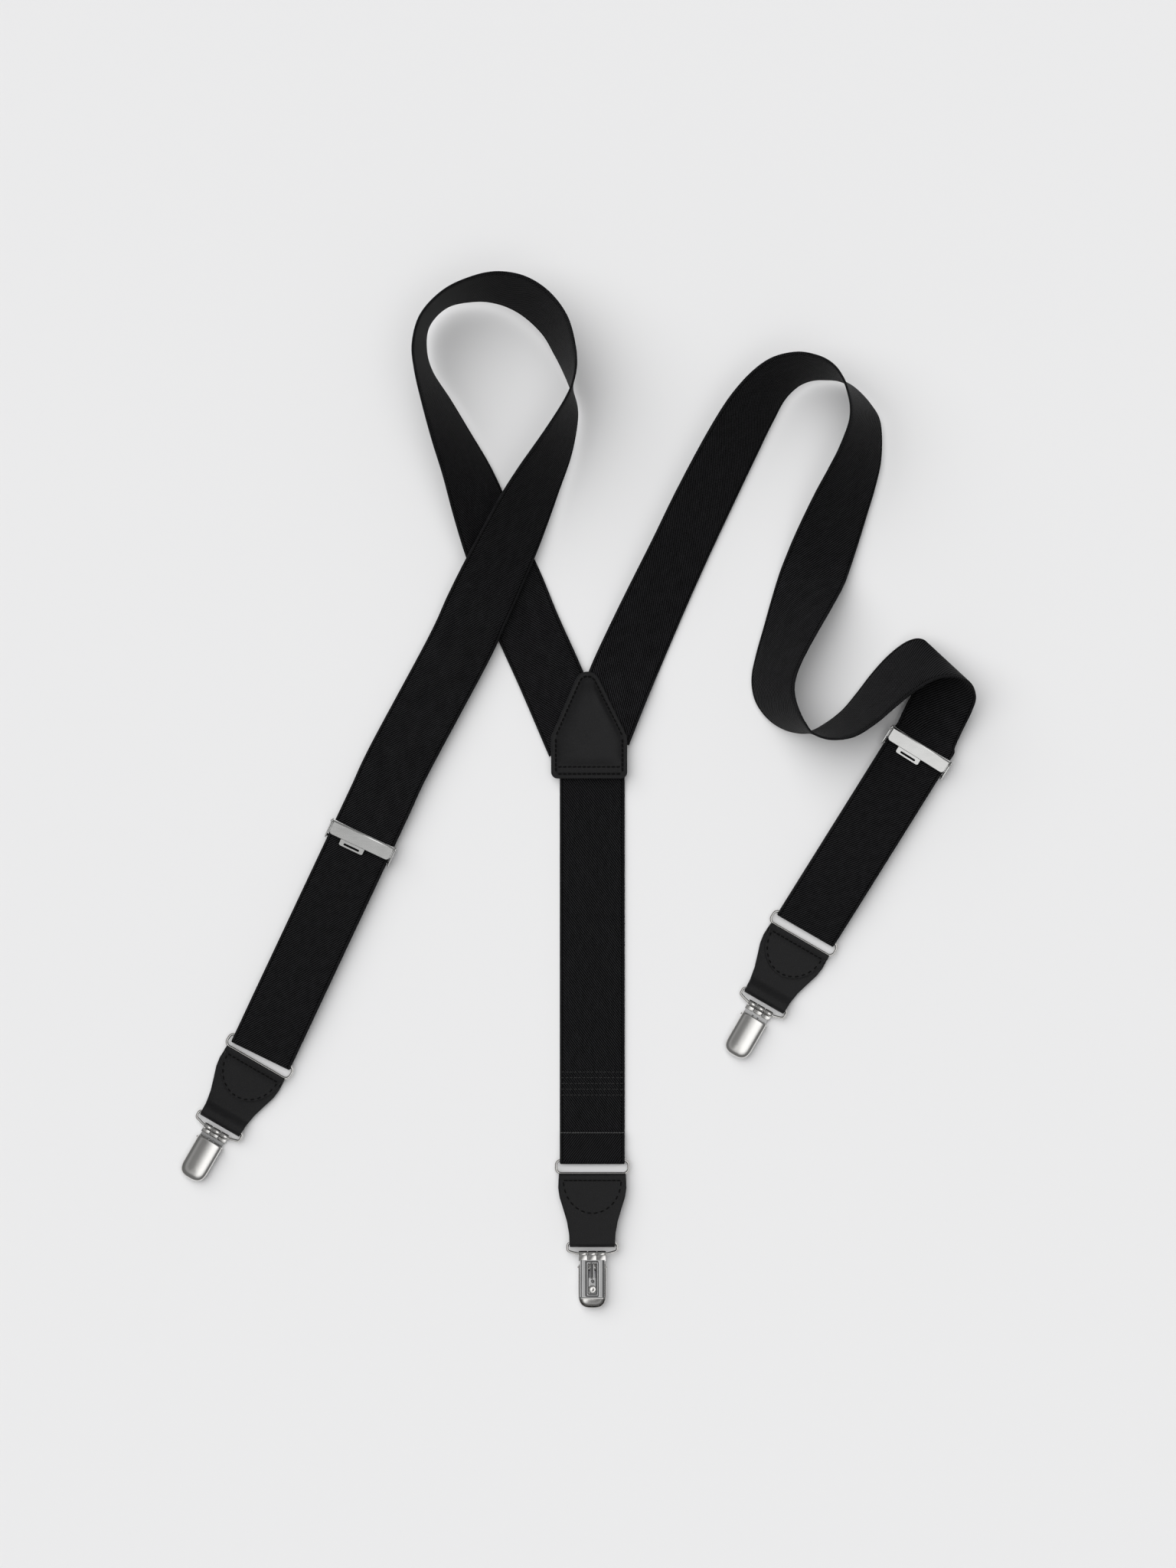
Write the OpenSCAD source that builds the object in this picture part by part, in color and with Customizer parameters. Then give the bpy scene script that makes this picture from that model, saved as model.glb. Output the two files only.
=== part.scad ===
// Y-back suspenders with clip ends, lying loosely on a flat surface.
// +Z is up, the surface is z = 0, and the origin is the middle of the whole lay.
// Every strap runs from the leather patch outwards; sizes are in millimetres.

/* [Webbing] */
// Width of the woven strap
strap_w = 35; // [34.5:0.1:35.2]
// Thickness of the woven strap
strap_t = 1.4; // [1.2:0.1:1.4]

/* [Leather] */
// Thickness of one layer of leather
leather_t = 1.2; // [1:0.1:1.2]
// Width of the patch at its shoulders
patch_w = 41; // [38:0.5:43]
// Length of a clip tab from its fold to its lower end
tab_l = 42; // [40:0.5:44]
// Length of one stitch
stitch_l = 2.1; // [1.6:0.1:2.4]

/* [Rings] */
// Outer width of the wire ring between strap and tab
ring_w = 40.6; // [40.4:0.1:42]
// Distance between the two long bars of the ring
ring_pitch = 7.3; // [7:0.1:8]
// Wire diameter of the ring
ring_wire = 1.6; // [1.4:0.1:1.6]

/* [Clips] */
// Width of the clip's back plate
clip_w = 13.4; // [12.8:0.1:14]
// Length of the clip's back plate below its rolled tube
clip_l = 24.2; // [23.5:0.1:25]
// Width of the domed cover
cover_w = 15; // [14.8:0.1:16]
// Wire diameter of the loop that carries the clip
loop_wire = 1.5; // [1.3:0.1:1.5]

/* [Adjusters] */
// Width of the lever plate
lever_w = 35.4; // [34:0.1:35.8]
// Height of the lever plate along the strap
lever_h = 8.1; // [7:0.1:8.6]
// Overall width over the frame's side cheeks
frame_w = 38.2; // [38:0.1:39]

/* [Hidden] */
$fn = 48;
eps = 0.01;
half_strap = strap_w / 2;
half_t = strap_t / 2;

// Height of every ring, wire and tube axis above the surface
axis_z = half_t + 1.65;
// Radius of the webbing's middle line where it folds round a bar
fold_r = axis_z - half_t;
// Height of the webbing's middle line where it runs through an adjuster
lift_z = 5.5;

// Adjuster centre, direction of the strap below it, and distance to the ring's bar
left_adjuster_at = [-115, -25.5];
left_yaw = 25.2;
left_run = 124;
right_adjuster_at = [184.5, 23];
right_yaw = 32;
right_run = 111.4;
// Direction in which each front ring, tab and clip points
front_end_yaw = 30;
// Middle of the back strap, where it ends in the patch, and its ring's bar
back_x = 9.7;
back_top_y = 19;
back_bar_y = -196.8;

// Free part of the left strap: [outer edge, inner edge] from the patch onwards.
// The outer edge is the one on the outside of the shoulder loop.
LEFT_ROUTE = [
    [[-13.5, 20.5, 2], [18.5, 34.5, 2]],
    [[-29, 57, 2], [3, 70.5, 2.1]],
    [[-41, 83.5, 1.4], [-9, 97.5, 1.2]],
    [[-49.5, 106, 5], [-18, 118.5, 0.8]],
    [[-57.5, 128, 12], [-28, 139, 0.9]],
    [[-64, 150, 19], [-37, 158, 1.6]],
    [[-69.5, 171, 25], [-46, 177, 2.6]],
    [[-75.5, 190, 31], [-56.5, 195, 4]],
    [[-80.5, 208, 36], [-66.5, 212, 5]],
    [[-84.5, 226, 39.5], [-76.5, 227.5, 6]],
    [[-85.5, 240, 41], [-79.8, 240, 7]],
    [[-81, 255, 42], [-78, 252.5, 7.5]],
    [[-69, 267.5, 42], [-68, 262.5, 8]],
    [[-54, 274.7, 41], [-53, 265.5, 8]],
    [[-40, 277.5, 40], [-41.5, 264.2, 8]],
    [[-25.5, 275, 39.3], [-31.5, 260, 8]],
    [[-13, 266.8, 39], [-23, 253.8, 8]],
    [[-4, 254.5, 39], [-16, 246.5, 7.5]],
    [[0, 241, 39.5], [-11, 238, 7]],
    [[1.2, 229.5, 40], [-6.3, 229, 6]],
    [[-0.5, 219.5, 39.5], [-2, 219.2, 5]],
    [[-4.2, 211, 38.5], [1.3, 209, 4.5]],
    [[-10.5, 201, 36.5], [1.2, 198.5, 4]],
    [[-19, 189, 33], [-2, 182, 3.6]],
    [[-29.5, 174.5, 28.5], [-8.5, 163.5, 3.6]],
    [[-38.5, 161, 24.5], [-13.5, 149, 4]],
    [[-48, 144.5, 20], [-20, 131.5, 4.8]],
    [[-57.5, 127.2, 15.5], [-27.5, 113.5, 5.4]],
    [[-68, 106.5, 8.5], [-37, 92.5, 5.5]],
    [[-79, 84, 5.7], [-47, 70, 5.5]]
];

// Free part of the right strap, in the same way.
RIGHT_ROUTE = [
    [[-3, 40, 3.5], [29.5, 26.5, 3.5]],
    [[8, 66.5, 3.7], [39.5, 52.5, 3.1]],
    [[16, 83, 6.5], [46, 69.5, 1]],
    [[28.5, 109.5, 12], [57.5, 95.5, 0.9]],
    [[41.5, 136, 16], [70, 123, 1]],
    [[55, 164, 17.5], [83, 150.5, 1.2]],
    [[72, 195.5, 21.5], [98, 182, 2]],
    [[85.5, 216, 26.5], [107, 200.5, 3]],
    [[101.5, 230.8, 31.5], [113, 212, 4]],
    [[117, 235.2, 36], [120, 219.5, 5]],
    [[129.5, 233, 38.5], [127.5, 223, 5.5]],
    [[137.5, 228.3, 39.5], [135.5, 223.6, 5.5]],
    [[142.5, 221.5, 39.5], [143.3, 222.8, 5]],
    [[145.3, 214, 39], [151, 218.8, 4.8]],
    [[146.8, 206, 37], [159.3, 210.3, 4.5]],
    [[146, 197.5, 33.5], [164.8, 200, 4.2]],
    [[141.5, 185.5, 28.5], [165.2, 180.5, 3.5]],
    [[135.5, 173.5, 23.5], [161.7, 164.5, 2.8]],
    [[129, 161.5, 18.5], [157.5, 150.3, 2.4]],
    [[119, 139.5, 9.5], [150, 127.5, 3]],
    [[114, 126.5, 5], [145.3, 115, 6]],
    [[109.5, 113.5, 3], [139.3, 103.8, 14]],
    [[103, 93, 2], [129.2, 85.5, 23.5]],
    [[98.2, 76, 1.8], [121.2, 70.5, 27.5]],
    [[95.8, 63.5, 1.7], [117.8, 61, 28.5]],
    [[97, 53, 1.7], [117.3, 54.5, 29.5]],
    [[101.2, 44.8, 1.7], [118.5, 48.5, 31.5]],
    [[108, 38.2, 1.7], [120.5, 43, 34]],
    [[116.8, 34.3, 1.7], [122.8, 38.2, 35.7]],
    [[126.5, 33.7, 1.7], [127, 32.8, 36.5]],
    [[135.5, 38.3, 1.7], [136.5, 29.6, 35.5]],
    [[144.5, 45.5, 1.7], [149, 31, 33.5]],
    [[152.5, 55, 1.8], [161, 38.3, 31.3]],
    [[160.5, 65.3, 2], [172.5, 48, 29.5]],
    [[169, 74.5, 3], [183.5, 56.7, 28.5]],
    [[177.5, 80.5, 6], [193, 62.5, 28]],
    [[185, 82.2, 10], [202, 64.3, 26]],
    [[190.5, 80, 13], [209.5, 61.5, 21.5]],
    [[191.8, 75, 12], [214, 53.5, 15]],
    [[189.5, 69, 8], [213.2, 45.5, 10.5]],
    [[185.5, 61, 6], [209.5, 36, 7.3]],
    [[179, 49, 5.6], [205, 26, 5.8]]
];

// ---- vectors, curves and ribbons ----

function unit(v) = v / norm(v);

function curve(a, b, c, d, t) =
    0.5 * (2 * b + (c - a) * t + (2 * a - 5 * b + 4 * c - d) * t * t
    + (3 * b - a - 3 * c + d) * t * t * t);

// A smooth run through the points, with steps points from each one to the next
function smooth_run(p, steps) =
    let (n = len(p))
    [for (i = [0 : n - 2]) for (k = [0 : steps - 1])
        curve(p[max(i - 1, 0)], p[i], p[i + 1], p[min(i + 2, n - 1)], k / steps),
        p[n - 1]];

// Points on an arc, from angle a0 to angle a1
function arc(centre, r, a0, a1, n) =
    [for (k = [0 : n]) centre + r * [cos(a0 + (a1 - a0) * k / n), sin(a0 + (a1 - a0) * k / n)]];

// A closed strap-shaped solid between two edge lines, strap_t thick and w wide
module ribbon(left_edge, right_edge, w) {
    n = len(left_edge);
    middle = (left_edge + right_edge) / 2;
    across = [for (i = [0 : n - 1]) unit(right_edge[i] - left_edge[i])];
    along = [for (i = [0 : n - 1]) unit(middle[min(i + 1, n - 1)] - middle[max(i - 1, 0)])];
    up = [for (i = [0 : n - 1]) unit(cross(across[i], along[i]))];
    points = [for (i = [0 : n - 1]) for (s = [[-1, -1], [1, -1], [1, 1], [-1, 1]])
        middle[i] + s[0] * w / 2 * across[i] + s[1] * half_t * up[i]];
    sides = [for (i = [0 : n - 2]) for (k = [0 : 3]) for (f = [
        [4 * i + k, 4 * i + 4 + k, 4 * i + 4 + (k + 1) % 4],
        [4 * i + k, 4 * i + 4 + (k + 1) % 4, 4 * i + (k + 1) % 4]]) f];
    polyhedron(points, concat([[0, 1, 2, 3]], [[4 * n - 1, 4 * n - 2, 4 * n - 3, 4 * n - 4]], sides));
}

// ---- where things are ----

// Moves the whole lay so that its bounding box is centred on the origin
to_middle = [-2.2, -0.9, 0];
module lay() {
    translate(to_middle) children();
}

// Runs its children in the frame of a strap end: -Y points away from the patch
module in_frame(at, yaw) {
    translate([at[0], at[1], 0]) rotate([0, 0, -yaw]) children();
}

function outward(yaw) = [-sin(yaw), -cos(yaw)];
function across_dir(yaw) = [cos(yaw), -sin(yaw)];

// A level cross line of a strap: its middle, direction and height
function cross_line(at, yaw, z) =
    let (m = [at[0], at[1], z], d = half_strap * [cos(yaw), -sin(yaw), 0]) [m - d, m + d];

left_bar_at = left_adjuster_at + left_run * outward(left_yaw);
right_bar_at = right_adjuster_at + right_run * outward(right_yaw);
back_bar_at = [back_x, back_bar_y];

// The free route, then the straight stretch into the adjuster
module front_strap(route, at, yaw, straight) {
    lines = concat(route, [for (u = straight) cross_line(at - u * outward(yaw), yaw, lift_z)]);
    ribbon(smooth_run([for (s = lines) s[0]], 3), smooth_run([for (s = lines) s[1]], 3), strap_w);
}

// Below the adjuster: down to the ring, round its bar, back beneath, and round the frame's bar
module strap_loop(at, yaw, run, end_yaw) {
    // [distance below the adjuster, height]
    down = [[0.1, lift_z], [run - 30, lift_z], [run - 16, lift_z - 0.3],
        [run - 6, axis_z + fold_r + 0.2]];
    back = [[run - 10, half_t], [run / 2, half_t], [frame_bar_u + 10, half_t]];
    tail = [[frame_bar_u + 8, half_t + strap_t + 0.3], [frame_bar_u + 16, half_t + strap_t + 0.05]];
    ring_fold = [for (a = [90 : -15 : -90]) [run + fold_r * cos(a), axis_z + fold_r * sin(a)]];
    frame_fold = [for (a = [-90 : -15 : -270]) [frame_bar_u + fold_r * cos(a), axis_z + fold_r * sin(a)]];
    path = concat(down, ring_fold, back, frame_fold, tail);
    // the cross lines turn from the strap's direction to the ring's over the last stretch
    lines = [for (p = path)
        let (turn = max(0, min(1, (p[0] - run + 40) / 40)))
        cross_line(at + p[0] * outward(yaw), yaw + (end_yaw - yaw) * turn, p[1])];
    ribbon([for (s = lines) s[0]], [for (s = lines) s[1]], strap_w);
}

// ---- patch ----

patch_at = [8, 8.7];
patch_corner_r = 3.6;
patch_shoulder_r = 5;
patch_shoulder_y = 21.5;
patch_apex_r = 7;
patch_apex = [-0.9, 50.6];
patch_side = 24.5;
patch_z = 4.4;

// Outline of the patch, moved in by inset all round, from its bottom middle
function patch_outline(inset) =
    let (x = patch_w / 2 - patch_corner_r, s = patch_w / 2 - patch_shoulder_r)
    concat(
        arc([-x, patch_corner_r], patch_corner_r - inset, 180, 270, 6),
        arc([x, patch_corner_r], patch_corner_r - inset, 270, 360, 6),
        arc([s, patch_shoulder_y], patch_shoulder_r - inset, 0, patch_side, 4),
        arc(patch_apex, patch_apex_r - inset, patch_side, 180 - patch_side, 12),
        arc([-s, patch_shoulder_y], patch_shoulder_r - inset, 180 - patch_side, 180, 4));

// The lower leather is cut a little smaller, so that it stays hidden
module patch_bottom() {
    color("#1b1b1c")
    translate([patch_at[0], patch_at[1], 0])
    linear_extrude(leather_t) polygon(patch_outline(1.6));
}

// The upper leather: a flat stitched border and a slightly padded middle
module patch_top() {
    middle = [0, 24];
    // [inset, scale about the middle, height]
    levels = [[0, 1, 0], [0, 1, 0.85], [0.4, 1, 1.15], [3.2, 1, 1.15],
        [3.2, 0.93, 1.3], [3.2, 0.78, 1.75], [3.2, 0.5, 2.15], [3.2, 0.2, 2.3]];
    rings = [for (l = levels) [for (p = patch_outline(l[0]))
        let (q = middle + l[1] * (p - middle)) [q[0], q[1], l[2]]]];
    n = len(rings[0]);
    m = len(rings);
    points = [for (r = rings) for (p = r) p];
    sides = [for (j = [0 : m - 2]) for (k = [0 : n - 1]) for (f = [
        [j * n + k, (j + 1) * n + k, (j + 1) * n + (k + 1) % n],
        [j * n + k, (j + 1) * n + (k + 1) % n, j * n + (k + 1) % n]]) f];
    faces = concat([[for (k = [0 : n - 1]) k]], [[for (k = [0 : n - 1]) m * n - 1 - k]], sides);
    color("#161617")
    translate([patch_at[0], patch_at[1], patch_z]) polyhedron(points, faces);
}

// ---- stitches ----

module stitch(at, angle, z) {
    translate([at[0], at[1], z]) rotate([0, 0, angle]) translate([-stitch_l / 2, -0.3, 0])
    cube([stitch_l, 0.6, 0.25]);
}

module stitch_line(p, q, z, pitch = 3) {
    n = round(norm(q - p) / pitch);
    for (k = [0 : n - 1])
        stitch(p + (q - p) * (k + 0.5) / n, atan2(q[1] - p[1], q[0] - p[0]), z);
}

module stitch_arc(centre, r, a0, a1, z, pitch = 3) {
    n = round(abs(a1 - a0) * PI / 180 * r / pitch);
    for (k = [0 : n - 1])
        let (a = a0 + (a1 - a0) * (k + 0.5) / n)
        stitch(centre + r * [cos(a), sin(a)], a + 90, z);
}

module patch_stitching() {
    z = patch_z + 1.15;
    inset = 2.5;
    side = (patch_w / 2 - inset);
    color("#0d0d0e")
    translate([patch_at[0], patch_at[1], 0]) {
        stitch_line([-side + 1, inset], [side - 1, inset], z);
        stitch_line([-side + 1, 6.3], [side - 1, 6.3], z + 0.46);
        stitch_line([-side, patch_corner_r + 1], [-side, patch_shoulder_y], z);
        stitch_line([side, patch_corner_r + 1], [side, patch_shoulder_y], z);
        for (s = [-1, 1])
            let (a = s > 0 ? patch_side : 180 - patch_side, d = [cos(a), sin(a)])
            stitch_line(
                [s * (patch_w / 2 - patch_shoulder_r), patch_shoulder_y] + (patch_shoulder_r - inset) * d + [0, 1.5],
                patch_apex + (patch_apex_r - inset) * d - [0, 1], z);
        stitch_arc(patch_apex, patch_apex_r - inset, patch_side + 8, 172 - patch_side, z);
    }
}

// ---- back strap ----

tail_y = -184;

// Profile of the back strap seen from its side: [y, z] of the middle line
module back_strap() {
    line = concat(
        [[back_top_y, 2], [8.4, 2], [5, 1.7], [-1, 0.85], [-6, half_t], [back_bar_y, half_t]],
        [for (a = [255 : -15 : 105]) [back_bar_y + fold_r * cos(a), axis_z + fold_r * sin(a)]],
        [[back_bar_y, axis_z + fold_r], [back_bar_y + 5.4, half_t + strap_t + 0.05],
            [tail_y, half_t + strap_t + 0.05]]);
    left = [for (p = line) [back_x - half_strap, p[0], p[1]]];
    right = [for (p = line) [back_x + half_strap, p[0], p[1]]];
    color("#202021") ribbon(left, right, strap_w);
}

module back_strap_stitching() {
    z = strap_t;
    color("#0d0d0e")
    translate([back_x, 0, 0]) {
        for (y = [-149.5 : -3.2 : -163])
            stitch_line([-half_strap + 1.5, y], [half_strap - 1.5, y], z);
        stitch_line([-half_strap + 1.5, back_bar_y + 7], [half_strap - 1.5, back_bar_y + 7],
            half_t + strap_t + 0.05 + half_t);
    }
}

// ---- rings ----

// A straight round wire
module rod(p, q, d) {
    v = q - p;
    translate(p) rotate([0, acos(v[2] / norm(v)), atan2(v[1], v[0])]) cylinder(h = norm(v), d = d);
}

// Rounded rectangle of wire: its upper bar is on the x axis
module ring() {
    r = 2.8;
    x = ring_w / 2 - ring_wire / 2;
    color("#c9cacc") {
        for (y = [0, -ring_pitch])
            rod([-x + r, y, 0], [x - r, y, 0], ring_wire);
        for (s = [-1, 1])
            rod([s * x, -r, 0], [s * x, -ring_pitch + r, 0], ring_wire);
        for (c = [[x - r, -r, 0], [-x + r, -r, 90], [-x + r, -ring_pitch + r, 180], [x - r, -ring_pitch + r, 270]])
            translate([c[0], c[1], 0]) rotate([0, 0, c[2]]) rotate_extrude(angle = 90)
            translate([r, 0]) circle(d = ring_wire);
    }
}

// ---- leather tabs ----

tab_hole_r = 1.15;
tab_fold_r = tab_hole_r + leather_t;
// Distances below the ring's lower bar
tab_end_u = tab_l - tab_fold_r;
wire_u = tab_end_u - tab_fold_r;
tab_row_u = 3.65;
tab_d_r = 15.5;
tab_d_h = 17.6;
// Half width of the tab at a distance below its upper end
TAB_SIDE = [[0, 17.8], [5, 18.2], [10, 18.4], [15, 17.7], [21, 15.8], [28, 13.7], [35, 12.5], [42, 12.2]];

function tab_side() = smooth_run(TAB_SIDE, 3);

// Outline seen from above, a little longer than the tab so that the folds cut it off
module tab_outline() {
    side = tab_side();
    scale_u = tab_l / 42;
    pts = concat(
        [for (p = side) [p[1], tab_fold_r - p[0] * scale_u]],
        [for (k = [len(side) - 1 : -1 : 0]) [-side[k][1], tab_fold_r - side[k][0] * scale_u]]);
    translate([0, 0, -1]) linear_extrude(tab_fold_r * 2 + 2) polygon(pts);
}

// A round turn of leather about the x axis, open towards -Y (side = 1) or +Y (side = -1)
module leather_turn(u, side) {
    w = 40;
    translate([0, -u, axis_z])
    difference() {
        rotate([0, 90, 0]) cylinder(r = tab_fold_r, h = w, center = true);
        rotate([0, 90, 0]) cylinder(r = tab_hole_r, h = w + 2, center = true);
        translate([-w, side > 0 ? -10 : 0, -5]) cube([2 * w, 10, 10]);
    }
}

// A piece of leather layer drawn from the side: its [distance, height of its underside] points
module leather_layer(line) {
    pts = concat(
        [for (p = line) [-p[0], p[1]]],
        [for (k = [len(line) - 1 : -1 : 0]) [-line[k][0], line[k][1] + leather_t]]);
    rotate([90, 0, 90]) linear_extrude(40, center = true) polygon(pts);
}

// One folded strip: front panel, round the clip wire, back layer, round the ring, D-shaped flap
module tab() {
    top = axis_z + tab_hole_r;
    panel = leather_t;
    flap = 2 * leather_t;
    end = wire_u;
    color("#19191a")
    intersection() {
        union() {
            leather_turn(0, 1);
            leather_turn(end, -1);
            leather_layer([[0, 0], [end, 0]]);
            leather_layer([[3.4, panel], [wire_u - 7, panel], [wire_u - 1.5, top], [end, top]]);
            intersection() {
                leather_layer([[0, top], [3.2, flap], [24, flap]]);
                translate([0, -tab_row_u, 0]) union() {
                    translate([-20, -1, -1]) cube([40, 10, 8]);
                    scale_flap();
                }
            }
        }
        tab_outline();
    }
}

// The flap's rounded lower edge, just outside its stitches
module scale_flap() {
    edge = 1.6;
    pts = [for (a = [180 : 7.5 : 360]) [(tab_d_r + edge) * cos(a), (tab_d_h + edge) * sin(a) - 0.5]];
    translate([0, 0, -1]) linear_extrude(8) polygon(pts);
}

module tab_stitching(z) {
    color("#0d0d0e")
    translate([0, -tab_row_u, 0]) {
        stitch_line([-tab_d_r, 0], [tab_d_r, 0], z, 2.8);
        for (k = [0 : 12])
            let (a = 187 + k * 13.8, p = [tab_d_r * cos(a), tab_d_h * sin(a)])
            stitch(p, atan2(tab_d_h * cos(a), -tab_d_r * sin(a)), z);
    }
}

// ---- clip ----

wire_top_x = 13.4;
wire_low_x = 8.1;
wire_drop = 5.9;
wire_straight = 4.4;
wire_bend_r = 1.6;
clip_u = wire_u + wire_drop;
tube_r = 1.65;
plate_t = 0.7;
plate_z = -(axis_z - 0.4);
pivot_y = -7.2;
pivot_z = 0.2;
pivot_r = 0.6;
cover_top_y = -5.7;
cover_l = 23.5;
cover_z = 3.4;
cover_t = 0.7;
rivet_y = -19;

// Middle line of a bend of radius r: its start corner, the direction in and the turn to the right
function bend(corner, r, from, turn) =
    let (
        before = [cos(from), sin(from)],
        centre = corner - r * tan(turn / 2) * before + r * [before[1], -before[0]])
    [for (k = [0 : 6]) let (a = from - turn * k / 6) [centre + r * [-sin(a), cos(a)], a]];

// Tapered wire loop: its upper bar is on the x axis, and its legs draw in below the leather
module clip_wire() {
    sides = 16;
    lean = atan2(wire_drop - wire_straight, wire_top_x - wire_low_x);
    line = concat(
        bend([-wire_top_x, 0], wire_bend_r, 90, 90),
        bend([wire_top_x, 0], wire_bend_r, 0, 90),
        bend([wire_top_x, -wire_straight], wire_bend_r, -90, 90 - lean),
        bend([wire_low_x, -wire_drop], wire_bend_r, lean - 180, lean),
        bend([-wire_low_x, -wire_drop], wire_bend_r, 180, lean),
        bend([-wire_top_x, -wire_straight], wire_bend_r, 180 - lean, 90 - lean));
    n = len(line);
    points = [for (s = line) for (k = [0 : sides - 1])
        let (a = 360 * k / sides, out = loop_wire / 2 * cos(a))
        [s[0][0] - out * sin(s[1]), s[0][1] + out * cos(s[1]), loop_wire / 2 * sin(a)]];
    faces = [for (i = [0 : n - 1]) for (k = [0 : sides - 1])
        let (j = (i + 1) % n, m = (k + 1) % sides)
        for (f = [[i * sides + k, j * sides + k, j * sides + m], [i * sides + k, j * sides + m, i * sides + m]]) f];
    color("#c4c5c7") polyhedron(points, faces);
}

// Back plate, rolled tube in three knuckles, pivot ears and toothed lip
module clip_body() {
    w = clip_w;
    color("#b9babd")
    difference() {
        union() {
            for (x = [-5, 0, 5])
                translate([x, 0, 0]) rotate([0, 90, 0]) cylinder(r = tube_r, h = 4.5, center = true);
            for (x = [-5, 0, 5])
                translate([x - 2.25, -3.5, plate_z]) cube([4.5, 3.5, -plate_z - 0.9]);
            translate([-w / 2, -clip_l, plate_z]) cube([w, clip_l - 3, plate_t]);
            // raised frame pressed into the plate
            difference() {
                translate([-3.3, -22.6, plate_z - 0.25]) cube([6.6, 18.6, 0.5]);
                translate([-2.6, -21.9, plate_z - 1]) cube([5.2, 17.2, 1]);
            }
            for (s = [-1, 1])
                translate([s * (w / 2 - 0.35), 0, 0]) {
                    translate([0, pivot_y, pivot_z]) rotate([0, 90, 0])
                    cylinder(r = 1.1, h = 0.7, center = true);
                    translate([-0.35, pivot_y - 2.2, plate_z]) cube([0.7, 2.2, pivot_z - plate_z]);
                }
            translate([-6, -clip_l, plate_z]) cube([12, 3, plate_t]);
            translate([-6, -clip_l, plate_z]) cube([12, 0.7, 2.3]);
            for (k = [-2 : 2])
                translate([2.2 * k, -clip_l, plate_z + 2.3 - eps]) rotate([90, 0, 180])
                linear_extrude(0.7) polygon([[-0.8, 0], [0.8, 0], [0, 0.7]]);
        }
        rotate([0, 90, 0]) cylinder(d = loop_wire + 0.2, h = 20, center = true);
        for (s = [-1, 1])
            translate([s * 1.65 - 0.5, -12.6, plate_z - 1]) cube([1, 7.6, 3]);
        translate([0, rivet_y, plate_z - 1]) cylinder(d = 2, h = 3);
        translate([0, pivot_y, pivot_z]) rotate([0, 90, 0]) cylinder(r = pivot_r, h = 20, center = true);
    }
}

// Outline of the shield-shaped cover, drawn from its top edge: straight sides and a broad, rounded end
module shield(w, l) {
    end_l = 8;
    polygon(concat(
        [[w / 2, 0]],
        [for (a = [0 : 10 : 180]) [
            w / 2 * sign(cos(a)) * pow(abs(cos(a)), 0.7),
            end_l - l - end_l * pow(sin(a), 0.7)]],
        [[-w / 2, 0]]));
}

// Domed front of the clip, with side walls that carry its pivot
module clip_cover() {
    dome_r = 70;
    dome_y = cover_top_y - cover_l / 2;
    wall_z = -1.2;
    color("#d2d3d5")
    difference() {
        intersection() {
            translate([0, cover_top_y, wall_z]) linear_extrude(6) shield(cover_w, cover_l);
            translate([0, dome_y, cover_z - dome_r]) sphere(r = dome_r, $fn = 96);
        }
        intersection() {
            translate([0, cover_top_y + 1, wall_z - 1]) linear_extrude(7)
            shield(cover_w - 2 * cover_t, cover_l + 1 - cover_t);
            translate([0, dome_y, cover_z - dome_r]) sphere(r = dome_r - cover_t, $fn = 96);
        }
        translate([0, pivot_y, pivot_z]) rotate([0, 90, 0])
        cylinder(r = pivot_r + 0.06, h = 20, center = true);
        // the top corners are cut back so that the cover can swing past the tube
        translate([-10, cover_top_y - 0.8, wall_z - 1]) cube([20, 3, 1.2]);
    }
}

module clip_pin() {
    color("#a9aaad")
    translate([0, pivot_y, pivot_z]) rotate([0, 90, 0])
    cylinder(r = pivot_r, h = cover_w + 0.8, center = true);
}

// Leaf spring between plate and cover, held by the rivet
module clip_spring() {
    z = plate_z + plate_t;
    pts = [[-21.2, z], [-14, z], [-9, z + 0.35], [-9, z + 0.7], [-14.1, z + 0.35], [-21.2, z + 0.35]];
    color("#9fa0a3")
    difference() {
        rotate([90, 0, 90]) linear_extrude(8, center = true) polygon(pts);
        translate([0, rivet_y, z - 1]) cylinder(d = 2, h = 3);
    }
}

module clip_rivet() {
    color("#cfd0d2")
    translate([0, rivet_y, 0]) {
        translate([0, 0, plate_z - 0.4]) cylinder(d = 4.5, h = 0.4);
        translate([0, 0, plate_z - 0.1]) cylinder(d = 2, h = plate_t + 0.55);
        translate([0, 0, plate_z + plate_t + 0.35]) cylinder(d = 3, h = 0.3);
    }
}

// ---- adjuster ----

frame_bar_u = 4;
cheek_t = 0.7;
lever_pin_u = -4.1;
lever_pin_z = 7.6;
lever_pin_r = 0.6;

// Channel that the strap runs through, with the bar that holds the webbing's end
module adjuster_frame() {
    x = frame_w / 2;
    color("#b4b5b8")
    difference() {
        union() {
            for (s = [-1, 1])
                translate([s * (x - cheek_t / 2), 0, 0]) {
                    translate([-cheek_t / 2, -frame_bar_u - 1.6, 0.9]) cube([cheek_t, frame_bar_u + 6.2, 5.6]);
                    translate([0, -lever_pin_u, lever_pin_z]) rotate([0, 90, 0])
                    cylinder(r = 1.5, h = cheek_t, center = true);
                    translate([-cheek_t / 2, -lever_pin_u - 1.5, 4]) cube([cheek_t, 3, 3.6]);
                }
            translate([-x, -1.3, 3.6]) cube([2 * x, 5.6, 0.8]);
            translate([0, -frame_bar_u, axis_z]) rotate([0, 90, 0])
            cylinder(d = ring_wire, h = 2 * x - cheek_t, center = true);
        }
        translate([0, -lever_pin_u, lever_pin_z]) rotate([0, 90, 0])
        cylinder(r = lever_pin_r, h = 60, center = true);
    }
}

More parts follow.
